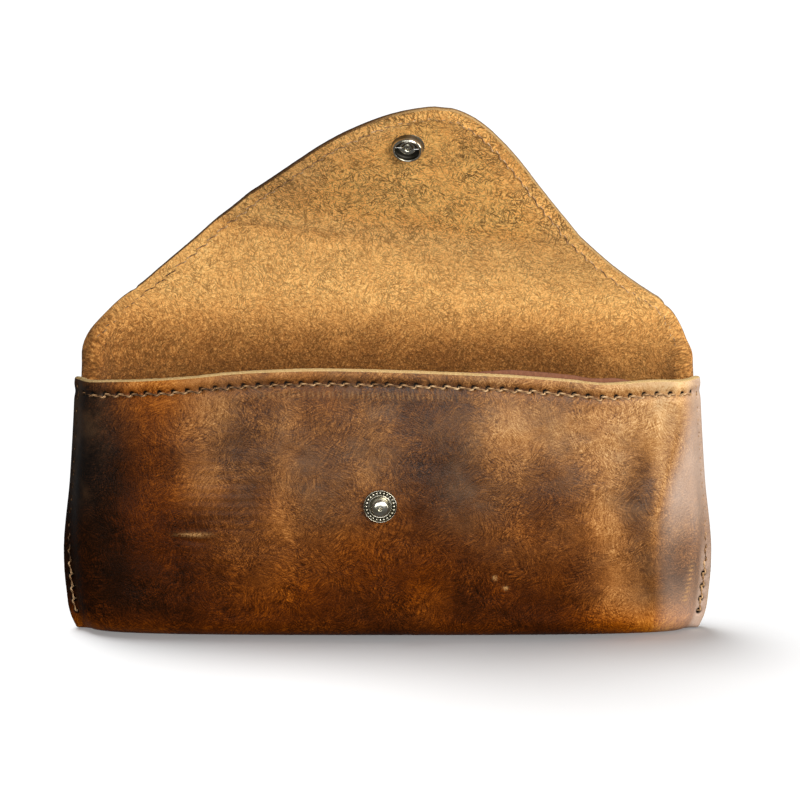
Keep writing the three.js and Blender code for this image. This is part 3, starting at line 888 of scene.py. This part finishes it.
def build_front(leaf, materials):
    rows, along = leaf.base_rows(BASE_ROWS)
    edge_z = mouth_edge(leaf.wall(MOUTH_Z)[0])
    fine_span = MOUTH_ROWS * EDGE_STEP
    # Rows lie closer low down, where the side seams' holes gape.
    lower = np.linspace(0, 0.27, 42, endpoint=False)
    upper = np.linspace(0.27, 1, 60, endpoint=False)
    heights = [BASE_TOP + (edge_z - fine_span - BASE_TOP) * t for t in np.concatenate([lower, upper])]
    heights += [edge_z - fine_span + EDGE_STEP * i for i in range(MOUTH_ROWS + 1)]
    rows += [leaf.row(h) for h in heights]
    along += heights
    grid = np.stack(rows)
    along = leaf.spread(along)
    across = np.broadcast_to(leaf.across(), along.shape)
    outward = np.array([0, -1.0, 0]) + np.array([0, 0, -1.0]) * (along < 2)[..., None]
    normals = grid_normals(grid, outward)
    x, z = grid[..., 0].copy(), along
    grid += normals * front_relief(x, z, across)[..., None]
    # Near the mouth the leather waves a little in and out, and the seam pulls it in.
    near_mouth = smoothstep(54, 77, z) * smoothstep(0, 20, half_width(z) - np.abs(x))
    grid[..., 1] += near_mouth * (0.9 * np.sin(x / 17 + 0.6) + 0.5 * cloud(across, z, 25, 31, 2))
    below_edge = edge_z[None] - z
    pulled_in = 0.3 * bell(below_edge - STITCH_MARGIN, 1.3)
    lip = 0.12 * bell(below_edge - 1.3, 1.2)
    grid += normals * (lip - pulled_in)[..., None]
    normals = grid_normals(grid, outward)

    seam = -1 - SEAM_ROW
    reach = np.abs(grid[seam, :, 0]) < half_width(MOUTH_Z) - 2.4
    mouth_holes, mouth_normals = seam_spots(grid[seam, reach][::-1], normals[seam, reach][::-1])
    side_holes = side_seams(leaf, grid, normals, MOUTH_Z - 5)
    pit = press_holes(grid, normals, mouth_holes + [0, 0, 0.3], 0.9, 0.74)
    side_line = np.concatenate([side_holes["left"][0], side_holes["right"][0]])
    # The side seams are pulled tight higher up, so only their lowest holes gape.
    gaping = side_line[:, 2] < 18
    pit = np.maximum(pit, press_holes(grid, normals, side_line[gaping], 0.9, 0.95))
    pit = np.maximum(pit, 0.15 * press_holes(grid, normals, side_line[~gaping], 0.3, 0.6))

    tone, warm = front_tone(x, z, across)
    tone = tone + 0.14 * bell(below_edge - 0.4, 1.6) - 0.1 * bell(below_edge - STITCH_MARGIN, 1.0)
    scuff = 0.8 * bell(z - 31.2, 0.5) * bell(x + 54.4, 4.0)
    scuff += 0.9 * (bell(x - 30.5, 0.5) * bell(z - 18.5, 0.6) + bell(x - 33.6, 0.6) * bell(z - 15.4, 0.5))
    # Rows of small ticks that the presser foot left beside the seams.
    ticks = (np.sin(across * 2 * np.pi / 1.45) > 0.35) * bell(below_edge - 6.6, 0.9)
    scuff += 0.3 * ticks * smoothstep(-45, -30, x) * (1 - smoothstep(6, 34, x))
    gap = half_width(z) - np.abs(x)
    side_ticks = (np.sin(z * 2 * np.pi / 1.25) > 0.1) * bell(gap - 6.4 + 0.1 * (z - 16), 0.7)
    scuff += 0.6 * side_ticks * smoothstep(8, 11, z) * (1 - smoothstep(20, 23, z)) * (x > 0)
    # Where the face turns into the right side it is smooth, with a band of painted sheen, pale grey, that
    # narrows downwards, and more painted light low down along the right edge.
    pale = smoothstep(-4, 2, x - ridge_line(z) - 4) * (0.32 + 0.46 * smoothstep(24, 46, z))
    pale = pale * (1.2 - 0.7 * bell(x - 84, 6) * bell(z - 24, 9))
    pale = pale + 0.3 * smoothstep(80, 88, x) * bell(z - 3, 8)
    pale = pale + 0.5 * smoothstep(4, 2.5, gap) * smoothstep(30, 20, z) * (x > 0)
    tones = {
        "tone": tone,
        "warm": warm,
        "pale": pale * (0.8 + 0.3 * cloud(across, z, 20, 16)),
        "pit": pit,
        "scuff": np.clip(scuff, 0, 1),
        "shade": 1 - smoothstep(40, 76, z),
        "flecks": np.full(tone.shape, 0.7),
        # rim: paler at the mouth's cut edge, and painted lighter along the lower right edge, a painted light
        # on the side the light comes from.
        "rim": 0.42 + 0.4 * smoothstep(10, 3, below_edge) + 0.25 * (x > 0) * smoothstep(24, 8, z),
    }
    flat = np.stack([across, along], axis=-1)
    piece = sheet("front_leaf", grid, normals, flat, tones, materials, joined=("first",),
                  crown=(0.36, 0.62, 0.55))
    seams = {"mouth": (mouth_holes, mouth_normals), **side_holes}
    return piece, seams, (grid, normals, flat)


def side_seams(leaf, grid, normals, top):
    """Hole places, and normals, for both sewn side edges of a leaf's grid, from the bottom up to a height."""
    margin = SIDE_MARGIN * (leaf.columns - 1) / (2 * leaf.across()[0])  # in columns
    first, part = int(margin), margin - int(margin)
    last = leaf.columns - 1
    seams = {}
    for name, outer, inner in (("left", last - first, last - first - 1), ("right", first, first + 1)):
        line = grid[:, outer] * (1 - part) + grid[:, inner] * part
        line_normals = normals[:, outer] * (1 - part) + normals[:, inner] * part
        keep = (line[:, 2] > SIDE_START) & (line[:, 2] < top)
        seams[name] = seam_spots(line[keep], line_normals[keep], SIDE_PITCH)
    return seams


# ---- the strip behind the mouth ----
def build_facing(leaf_data, material):
    grid, normals, flat = leaf_data
    columns = np.abs(grid[-1, :, 0]) < box_mm("mouth_facing")[1][0]
    rows = slice(-FACING_ROWS, None)
    strip, turned = grid[rows, columns].copy(), normals[rows, columns]
    # The strip's own top edge is straighter than the front leaf's, so it shows above it on the right.
    x = strip[-1, :, 0]
    proud = -0.4 + 1.9 * smoothstep(8, 40, x) * (1 - smoothstep(62, 73, x)) + 0.15 * np.sin(x / 5)
    low, high = strip[0, :, 2].copy(), strip[-1, :, 2].copy()
    share = (strip[..., 2] - low) / (high - low)
    strip[..., 2] += share**3 * proud
    surface = strip - turned * (LEATHER + FACING_GAP)
    return sheet("mouth_facing_strip", surface, turned, flat[rows, columns], {}, [material] * 3,
                 thickness=FACING_THICKNESS)


# ---- the back leaf and the flap, one grid ----
BACK_COLUMNS = 241


def bezier(points, count):
    t = np.linspace(0, 1, count)[:, None]
    a, b, c, d = (np.array(p, float) for p in points)
    return (1 - t) ** 3 * a + 3 * t * (1 - t) ** 2 * b + 3 * t**2 * (1 - t) * c + t**3 * d


def flap_outline():
    """Half of the flap's outline from the back fold to the tip, as (half width, length)."""
    end = BRIDGE_LENGTH + FRONT_LENGTH - 1.2
    shoulder = bezier([(86.2, 0), (84.0, 4.4), (79.8, 11.2), (74.2, 16.4)], 60)
    slope = bezier([(74.2, 16.4), (58, 29.2), (48.5, 40), (31, 62.3)], 80)[1:]
    tip = bezier([(31, 62.3), (25, 70), (11, end), (0, end)], 140)[1:]
    return np.concatenate([shoulder, slope, tip])


def panel_axes(roll, lean):
    across = np.array([math.cos(roll), 0, -math.sin(roll)])
    away = np.array([math.sin(roll) * math.cos(lean), -math.sin(lean), math.cos(roll) * math.cos(lean)])
    return across, away, np.cross(across, away)


flap_drift = curve_through(FLAP_DRIFT)


def flap_point(x, length):
    """A point on the flap's grain side, x across and length from the back fold."""
    across_1, away_1, suede_1 = panel_axes(BRIDGE_ROLL, 0)
    across_2, away_2, suede_2 = panel_axes(FRONT_ROLL, FRONT_LEAN)
    twist = -FLAP_TWIST * x / 30 * smoothstep(0, 40, length - BRIDGE_LENGTH)
    x, length, twist = (x + flap_drift(length))[..., None], length[..., None], twist[..., None]
    half = LEATHER / 2
    bridge = BACK_FOLD - suede_1 * half + across_1 * x + away_1 * length
    front = FRONT_FOLD - suede_2 * half + across_2 * x + away_2 * (length - BRIDGE_LENGTH)
    corner = FRONT_FOLD - (suede_1 + suede_2) * half / (1 + suede_1 @ suede_2) + unit(across_1 + across_2) * x
    start = BACK_FOLD - suede_1 * half + across_1 * x + away_1 * (BRIDGE_LENGTH - BEND_REACH)
    stop = FRONT_FOLD - suede_2 * half + across_2 * x + away_2 * BEND_REACH
    t = np.clip((length - BRIDGE_LENGTH + BEND_REACH) / (2 * BEND_REACH), 0, 1)
    bend = (1 - t) ** 2 * start + 2 * t * (1 - t) * corner + t**2 * stop
    return np.where(t <= 0, bridge, np.where(t >= 1, front, bend)) + suede_2 * twist


def back_grid(leaf):
    """Rows up the back leaf and on to the flap's tip, and how far each point lies along the leather."""
    rows, along = leaf.base_rows(BASE_ROWS)
    top = MOUTH_Z - 0.5
    heights = np.linspace(BASE_TOP, top, WALL_ROWS, endpoint=False)
    rows += [leaf.row(h) for h in heights]
    along += list(heights)
    outline = flap_outline()
    spot = np.linspace(1, -1, leaf.columns)
    fold_z = BACK_FOLD[2]
    for z in np.linspace(top, fold_z + SPLIT_LENGTH, FOLD_ROWS):
        length = z - fold_z
        width = np.interp(length, outline[:, 1], outline[:, 0])
        share = smoothstep(top, fold_z + SPLIT_LENGTH, z)
        share = share * (1 - 0.25 * share * (1 - share))
        wall = leaf.row(np.full(leaf.columns, z))
        flap = flap_point(spot * width, np.full(leaf.columns, length))
        mixed = wall * (1 - share) + flap * share
        early = smoothstep(top, fold_z + 6, z)
        mixed[:, [0, 2]] = wall[:, [0, 2]] * (1 - early) + flap[:, [0, 2]] * early
        rows.append(mixed)
        along.append(z)
    upper = outline[outline[:, 1] > SPLIT_LENGTH + 0.5]
    upper = upper[upper[:, 0] > 2.0]
    even = resample(upper, 120)
    for width, length in even:
        rows.append(flap_point(spot * width, np.full(leaf.columns, length)))
        along.append(fold_z + length)
    grid = np.stack(rows)
    along = leaf.spread(along)
    return grid, along


def build_back(leaf, materials):
    grid, along = back_grid(leaf)
    fold_z = BACK_FOLD[2]
    length = along - fold_z
    in_flap = smoothstep(-3, SPLIT_LENGTH, length)
    across = np.broadcast_to(leaf.across(), along.shape) * (1 - in_flap) + grid[..., 0] * in_flap
    outward = np.array([0, 1.0, 0]) + np.array([0, 0, -1.0]) * (along < 2)[..., None]
    normals = grid_normals(grid, outward)
    gap = half_width(np.minimum(along, MOUTH_Z)) - np.abs(grid[..., 0])
    low_part = smoothstep(0, 12, gap) * smoothstep(1, 12, along) * (1 - smoothstep(66, 76, along))
    relief = low_part * (0.6 * cloud(across, along, 40, 41, 2) + 0.25 * cloud(across, along, 14, 42, 2))
    # The flap waves gently, more towards its edges, and keeps a soft crease at its fold.
    waves = 0.5 * cloud(across, along, 36, 43, 2) + 0.16 * cloud(across, along, 11, 44, 2)
    relief += smoothstep(6, 30, length) * waves
    crease = length - BRIDGE_LENGTH - 2.0 + 0.03 * across
    left = 1 - smoothstep(-24, 6, across)
    relief += 0.45 * bell(crease, 2.2) * left
    grid += normals * relief[..., None]
    normals = grid_normals(grid, outward)

    side_holes = side_seams(leaf, grid, normals, MOUTH_Z - 1)
    flap_holes, flap_normals = flap_seam(grid, normals, length)
    holes = np.concatenate([side_holes["left"][0], side_holes["right"][0], flap_holes])
    pit = press_holes(grid, normals, holes, 0.4, 0.62)

    tone = 0.47 + 0.13 * cloud(across, along, 40, 51) + 0.09 * cloud(across, along, 15, 52)
    # Painted shade: darker towards the bottom.
    tone = tone - 0.12 * (1 - smoothstep(2, 30, along))
    tone = tone + 0.1 * bell(length - BRIDGE_LENGTH, 5) + 0.06 * bell(length, 5)
    # Painted shade: darker near the left edge, on the side away from the light.
    tone = tone - 0.3 * (1 - smoothstep(4, 20, gap)) * (grid[..., 0] < 0) * (along < 90)
    warm = np.clip(0.7 * (1 - smoothstep(4, 40, along)) + 0.3 * (0.5 + cloud(across, along, 26, 53)), 0, 1)
    rim_gap = np.minimum(*(np.linalg.norm(grid - edge, axis=-1) for edge in (grid[:, :1], grid[:, -1:])))
    shade = (1.4 - 0.5 * smoothstep(50, 76, across)) * (1 - smoothstep(-4, 17, length))
    shade += 0.35 * bell(crease, 2.4) * left
    upper = 0.35 * cloud(across, along, 30, 54) + 0.4 * smoothstep(20, 4, rim_gap) - 0.65
    shade += upper * smoothstep(30, 50, length)
    flecks = 0.65 + 0.25 * smoothstep(28, 46, length)
    # The flap's cut edge is brown on the left slope and paler over the tip and down the right: painted shade
    # away from the light and painted light where it falls.
    rim = 0.2 + 0.26 * smoothstep(-12, 14, across) * smoothstep(0, 30, length)
    rim = rim + 0.25 * (1 - smoothstep(-4, 4, length))
    plain = np.zeros(tone.shape)
    tones = {"tone": tone, "warm": warm, "pale": plain, "pit": pit, "scuff": plain,
             "shade": np.clip(shade, -0.9, 1.5), "flecks": flecks, "rim": rim}
    flat = np.stack([across, along], axis=-1)
    fold_start = BASE_ROWS + WALL_ROWS
    cuts = [0, fold_start, fold_start + FOLD_ROWS - 1, len(grid) - 1]
    names = ["back_leaf", "back_fold_leather", "flap_leather"]
    # The flap is skived thinner towards its cut edge.
    skived = LEATHER * (1 - 0.35 * smoothstep(7, 0.5, rim_gap) * smoothstep(6, 30, length))
    pieces = []
    for name, first, last in zip(names, cuts, cuts[1:]):
        part = slice(first, last + 1)
        sides = ("first",) if name == "flap_leather" else ("first", "last")
        values = {key: value[part] for key, value in tones.items()}
        pieces.append(sheet(name, grid[part], normals[part], flat[part], values, materials, sides,
                            skived[part]))
    return pieces, side_holes, (flap_holes, flap_normals)


def flap_seam(grid, normals, length):
    """Hole places round the flap, a stitch margin in from its cut edge, right to left over the tip."""
    rows = np.where(length[:, 0] > 2.5)[0]
    middle = grid[rows[len(rows) // 2], grid.shape[1] // 2]
    lines = []
    for column in (0, -1):
        edge = grid[rows, column]
        tangent = unit(np.gradient(edge, axis=0))
        inward = unit(np.cross(normals[rows, column], tangent))
        if np.sum(inward * (middle - edge)) < 0:
            inward = -inward
        lines.append(edge + inward * FLAP_MARGIN)
    right, left = lines
    loop = resample(np.concatenate([right, left[::-1]]), 260)
    flat_grid = grid.reshape(-1, 3)
    flat_normals = normals.reshape(-1, 3)
    # Each point is dropped onto the nearest place of the leather.
    snapped, turned = [], []
    for point in loop:
        nearest = np.argmin(np.linalg.norm(flat_grid - point, axis=1))
        normal = flat_normals[nearest]
        snapped.append(point - normal * ((point - flat_grid[nearest]) @ normal))
        turned.append(normal)
    return seam_spots(np.array(snapped), np.array(turned))


# ---- the snap ----
def turned_piece(profile, segments=72):
    """A turned piece about +Y, as (verts, faces), from (radius, height) pairs once round its section."""
    turn = np.linspace(0, 2 * np.pi, segments, endpoint=False)
    pairs = np.array(profile, float)
    count = len(pairs)
    height = np.broadcast_to(pairs[:, 1], (segments, count))
    left_right, near_far = (np.outer(wave, pairs[:, 0]) for wave in (np.cos(turn), np.sin(turn)))
    verts = np.stack([left_right, height, near_far], axis=-1)
    faces = []
    for i in range(segments):
        j = (i + 1) % segments
        for k in range(count):
            m = (k + 1) % count
            faces.append((i * count + k, i * count + m, j * count + m, j * count + k))
    return verts.reshape(-1, 3), faces


def rounded(profile, radius=0.12, steps=3):
    """A closed profile with each corner cut by a small curve."""
    points = np.array(profile, float)
    result = []
    for before, here, after in zip(np.roll(points, 1, axis=0), points, np.roll(points, -1, axis=0)):
        reach_in = min(radius, 0.45 * np.linalg.norm(before - here))
        reach_out = min(radius, 0.45 * np.linalg.norm(after - here))
        start = here + unit(before - here) * reach_in
        stop = here + unit(after - here) * reach_out
        for t in np.linspace(0, 1, steps):
            result.append((1 - t) ** 2 * start + 2 * t * (1 - t) * here + t**2 * stop)
    return result


def join_parts(parts):
    verts, faces = [], []
    for part_verts, part_faces in parts:
        offset = sum(len(v) for v in verts)
        verts.append(part_verts)
        faces += [tuple(offset + i for i in face) for face in part_faces]
    return np.concatenate(verts), faces


def ball(centre, radius, rings=8, segments=12):
    """A small ball as (verts, faces)."""
    up = np.linspace(0, np.pi, rings + 1)[1:-1]
    turn = np.linspace(0, 2 * np.pi, segments, endpoint=False)
    verts = [[0, radius, 0]]
    for a in up:
        reach, height = radius * np.sin(a), radius * np.cos(a)
        verts += [[reach * np.cos(t), height, reach * np.sin(t)] for t in turn]
    verts.append([0, -radius, 0])
    faces = []
    for k in range(segments):
        m = (k + 1) % segments
        faces.append((0, 1 + m, 1 + k))
        for ring in range(len(up) - 1):
            a = 1 + ring * segments
            faces.append((a + k, a + m, a + segments + m, a + segments + k))
        a = 1 + (len(up) - 1) * segments
        faces.append((len(verts) - 1, a + k, a + m))
    return np.array(verts) + centre, faces


def place_parts(name, parts, origin, axis, material, tarnish_and_shade=None):
    """Joins parts drawn about +Y into one object with +Y turned to the axis, its origin at a point. The last
    argument, a function of radius and height, gives how dark each point is: partly tarnish, partly painted
    shade."""
    verts, faces = join_parts(parts)
    hollow_dark = np.zeros(len(verts)) if tarnish_and_shade is None else tarnish_and_shade(np.hypot(verts[:, 0], verts[:, 2]), verts[:, 1])
    axis = unit(np.array(axis, float))
    side = unit(np.cross(axis, [0, 0, 1.0]))
    third = np.cross(side, axis)
    world = origin + verts[:, :1] * side + verts[:, 1:2] * axis + verts[:, 2:] * third
    obj = new_object(name, world, faces, [material])
    store(obj, "tarnish_and_shade", hollow_dark)
    return obj


def build_stud(origin, outward, nickel):
    """A rim, a ring of beads in a groove, a smooth dish and a hollow post with a domed head."""
    ring = turned_piece(rounded([
        (1.9, 0), (4.62, 0), (4.75, 0.25), (4.7, 0.62), (4.5, 0.72), (4.36, 0.3), (3.4, 0.3), (3.3, 0.78),
        (3.12, 0.84), (2.4, 0.38), (1.95, 0.3), (1.78, 0.7), (1.74, 1.6), (1.9, 1.98), (2.24, 2.3),
        (2.34, 2.62), (2.2, 2.92), (1.8, 3.14), (1.3, 3.28), (0.62, 3.34), (0.5, 3.24), (0.42, 3.0),
        (0.42, 2.2), (0.9, 1.6), (1.5, 0.5)]))
    floor = turned_piece([(0.01, 2.98), (0.44, 2.98), (0.44, 2.8), (0.01, 2.8)])
    beads = 24
    parts = [ring, floor]
    for i in range(beads):
        turn = 2 * math.pi * i / beads
        parts.append(ball(np.array([3.88 * math.cos(turn), 0.52, 3.88 * math.sin(turn)]), 0.38))

    # Painted shade, with some tarnish: the groove under the beads and the foot of the post are dark.
    def tarnish_and_shade(radius, height):
        groove = (radius > 3.25) & (radius < 4.45) & (height < 0.36)
        foot = 0.5 * (radius > 1.6) * (radius < 2.5) * (height < 0.6)
        return np.maximum(0.95 * groove, foot)

    return place_parts("snap_stud_beaded", parts, origin, outward, nickel, tarnish_and_shade)


def build_eyelet(origin, outward, nickel):
    profile = rounded([(1.0, 0), (4.3, 0), (4.5, 0.25), (4.1, 0.6), (2.6, 0.75), (1.7, 0.6), (1.5, 2.2),
                       (1.0, 2.2)])
    return place_parts("stud_eyelet_inside", [turned_piece(profile)], origin, outward, nickel)


def build_cap(origin, outward, nickel):
    profile = rounded([(0.01, -0.4), (5.0, -0.4), (5.5, -0.1), (5.5, 0.35), (5.2, 0.95), (4.4, 1.5),
                       (3.0, 2.0), (1.5, 2.22), (0.01, 2.3)], 0.4, 4)
    return place_parts("snap_cap_domed", [turned_piece(profile)], origin, outward, nickel)


def build_socket(origin, outward, nickel):
    """Serrated flange, an open bowl with a rolled rim, and the flared end of the cap's rivet inside."""
    bowl = turned_piece(rounded([
        (1.2, 0.0), (4.3, 0.0), (4.42, 0.5), (4.36, 1.3), (4.2, 2.0), (3.98, 2.34), (3.7, 2.44), (3.45, 2.36),
        (3.4, 2.15), (3.55, 1.95), (3.8, 1.7), (3.95, 1.2), (3.8, 0.5), (3.0, 0.4), (1.2, 0.4)]))
    flare = turned_piece(rounded([
        (1.1, 0.3), (1.5, 0.3), (1.6, 0.55), (2.0, 0.8), (2.35, 0.92), (2.3, 1.08), (1.95, 1.12), (1.5, 1.0),
        (1.2, 0.8), (1.1, 0.6)]))
    plug = turned_piece([(0.01, 0.3), (1.15, 0.3), (1.15, 0.6), (0.7, 0.74), (0.01, 0.8)])
    teeth = 32
    turn = np.linspace(0, 2 * np.pi, teeth * 6, endpoint=False)
    wave = 0.5 + 0.5 * np.cos(turn * teeth)
    rings = []
    for radius, height in ((4.0, -0.3), (4.5, -0.3), (4.6, -0.02), (4.48, 0.14), (4.0, 0.2)):
        reach = radius + 0.16 * wave * (radius > 4.1)
        level = np.full(turn.shape, height)
        rings.append(np.stack([np.cos(turn) * reach, level, np.sin(turn) * reach], axis=1))
    count = len(turn)
    faces = []
    for k in range(len(rings)):
        m = (k + 1) % len(rings)
        for i in range(count):
            j = (i + 1) % count
            faces.append((k * count + i, k * count + j, m * count + j, m * count + i))
    flange = (np.concatenate(rings), faces)

    # Painted shade and dark reflection: the inside of the bowl and its outer wall are dark.
    def tarnish_and_shade(radius, height):
        bowl_inside = 0.9 * (radius > 2.5) * (radius < 4.0) * (height > 0.25) * (height < 2.1)
        bowl_wall = 0.75 * (radius > 4.1) * (height < 1.5)
        return np.maximum(bowl_inside, bowl_wall)

    return place_parts("snap_socket_bowl", [flange, bowl, flare, plug], origin, outward, nickel, tarnish_and_shade)


def build_spring(name, centre, across, along, outward, wire):
    """A wire across one side of the bowl, from its wall to the rivet, sagging a little."""
    spots = np.linspace(0, 1, 14)[:, None]
    reach = 3.9 * (1 - spots) + 1.7 * spots
    path = centre + across * reach + along * 0.5 * (1 - spots) + outward * (1.1 - 0.1 * np.sin(np.pi * spots))
    return sweep(name, path[None], np.array([outward]), 0.2, wire, plies=1, spacing=math.inf, sides=14)


# ---- assembly ----
def ride(piece, body, slot, *nodes):
    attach(piece, body)
    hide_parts(*nodes)


def bend(piece, bodies, start, end, slot, *nodes):
    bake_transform(piece)
    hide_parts(*nodes)


def bend_back(piece, slot, *nodes):
    """Bakes the piece's transform and hides its CAD nodes; the span across the back fold, from the top of the
    back leaf to the lower half of the bridge, is worked out but not used.
    """
    start = BACK_FOLD + [0, 0, -3.0]
    bend(piece, ("pocket", "flap_bridge"), start, start + [0, 0, 12.0], slot, *nodes)


def bend_front(piece, slot, *nodes):
    """Bakes the piece's transform and hides its CAD nodes; the span across the front fold, along the mean of
    the two panels' directions, is worked out but not used.
    """
    away = unit(panel_axes(BRIDGE_ROLL, 0)[1] + panel_axes(FRONT_ROLL, FRONT_LEAN)[1])
    reach = BEND_REACH - 1
    start, end = FRONT_FOLD - away * reach, FRONT_FOLD + away * reach
    bend(piece, ("flap_bridge", "flap_front"), start, end, slot, *nodes)


def mouth_thread_shade(points):
    """The mouth's thread is painted darker towards the left, a painted shade on the side away from the light.
    """
    return 0.4 - 0.4 * smoothstep(-40, 30, points[:, 0])


def side_thread_stain_and_shade(points):
    """The side seams' thread is light low down and dark higher up, where it sinks into the leather, and
    darker on the left: painted shade over a slight darkening throughout.
    """
    return 0.15 + (0.3 + 0.4 * (points[:, 0] < 0)) * smoothstep(12, 30, points[:, 2])


def side_lift(points):
    """The side seams' thread sinks into the leather higher up."""
    return -0.42 * smoothstep(16, 32, points[:, 2])


def sew_pocket(front_seams, back_seams, facing_shift, thread):
    holes, turned = front_seams["mouth"]
    piece = stitches("mouth_stitches", holes, turned, thread, seed=3, lift=0.02, stain_and_shade=mouth_thread_shade)
    ride(piece, "pocket", "thread", "mouth_seam_needle_thread")
    inside = np.abs(holes[:, 0]) < box_mm("mouth_facing")[1][0] - 1
    under = holes[inside] - turned[inside] * facing_shift
    piece = stitches("mouth_stitches_inside", under, -turned[inside], thread, seed=4)
    ride(piece, "pocket", "thread", "mouth_seam_bobbin_thread")
    for side in ("left", "right"):
        holes, turned = front_seams[side]
        piece = stitches(f"{side}_seam_stitches", holes, turned, thread, slant=-1, seed=5, lift=side_lift,
                         stain_and_shade=side_thread_stain_and_shade, radius=0.8 * THREAD_RADIUS)
        ride(piece, "pocket", "thread", f"{side}_seam_needle_thread")
        holes, turned = back_seams[side]
        piece = stitches(f"{side}_seam_stitches_back", holes, turned, thread, seed=6, stain_and_shade=0.35)
        ride(piece, "pocket", "thread", f"{side}_seam_bobbin_thread")


def flap_thread_stain_and_shade(points):
    """On the suede side the flap's thread is as light as the nap, and darkest at the left shoulder, a painted
    shade.
    """
    return 0.1 + 0.35 * smoothstep(-46, -66, points[:, 0])


def sew_flap(seam, thread):
    """Both faces of the flap's edge seam. Each is split where the leather's pieces meet."""
    holes, turned = seam
    split = BACK_FOLD[2] + SPLIT_LENGTH
    low = holes[:, 2] < split
    order = np.arange(len(holes))
    last_right = order[low & (order < len(holes) // 2)].max()
    first_left = order[low & (order > len(holes) // 2)].min()
    parts = {
        "right": slice(0, last_right + 1),
        "top": slice(last_right, first_left + 1),
        "left": slice(first_left, None),
    }
    # On the suede side the nap half hides a thinner thread.
    looks = {"needle": (1, 0.0, -0.05, THREAD_RADIUS), "bobbin": (-1, LEATHER, -0.2, 0.6 * THREAD_RADIUS)}
    for face, (sign, depth, lift, radius) in looks.items():
        for part, span in parts.items():
            points = holes[span] - turned[span] * depth
            name = f"flap_{part}_{face}_stitches"
            piece = stitches(name, points, turned[span] * sign, thread, lift=lift, seed=7, radius=radius,
                             stain_and_shade=0.25 if face == "needle" else flap_thread_stain_and_shade)
            if part == "top":
                bend_front(piece, "thread", f"flap_edge_{face}_thread")
            else:
                bend_back(piece, "thread", f"bridge_{part}_{face}_thread")


def build_snap(nickel, wire):
    forward = (0, -1, 0)
    for node, build, raised in (("snap_stud", build_stud, STUD_RAISE), ("stud_eyelet", build_eyelet, 0.0)):
        low, high = box_mm(node)
        middle = (low + high) / 2
        piece = build(np.array([middle[0], high[1], middle[2] + raised]), forward, nickel)
        ride(piece, "pocket", "nickel", node)
    across, away, suede = panel_axes(FRONT_ROLL, FRONT_LEAN)
    points = np.array([v.co for v in frame["nodes"]["snap_socket"].data.vertices], float) / MM
    base = (points @ suede).min()
    centre = points.mean(0)
    centre = centre + suede * (base - centre @ suede) + across * SOCKET_SHIFT
    piece = build_socket(centre, suede, nickel)
    ride(piece, "flap_front", "nickel", "snap_socket")
    piece = build_cap(centre - suede * (LEATHER + 0.6), -suede, nickel)
    ride(piece, "flap_front", "nickel", "snap_cap")
    for side, sign in (("left", -1), ("right", 1)):
        piece = build_spring(f"{side}_spring_wire", centre, sign * across, sign * away, suede, wire)
        ride(piece, "flap_front", "spring_wire", f"socket_spring_{side}")


def build_case():
    hide = [grain_material(), suede_material(), edge_material()]
    thread, nickel, wire = thread_material(), nickel_material(), wire_material()
    front, front_seams, front_data = build_front(Leaf(-1, FRONT_COLUMNS), hide)
    ride(front, "pocket", "hide", "hide_body")
    facing = build_facing(front_data, facing_material())
    ride(facing, "pocket", "facing", "mouth_facing")
    (back, fold, flap), back_seams, flap_seam_data = build_back(Leaf(1, BACK_COLUMNS), hide)
    ride(back, "pocket", "hide", "hide_body")
    bend_back(fold, "hide", "hide_flap_bridge")
    bend_front(flap, "hide", "hide_flap_bridge", "hide_flap_front")
    sew_pocket(front_seams, back_seams, LEATHER + FACING_GAP + FACING_THICKNESS, thread)
    sew_flap(flap_seam_data, thread)
    build_snap(nickel, wire)


build_camera()
build_studio()
build_case()
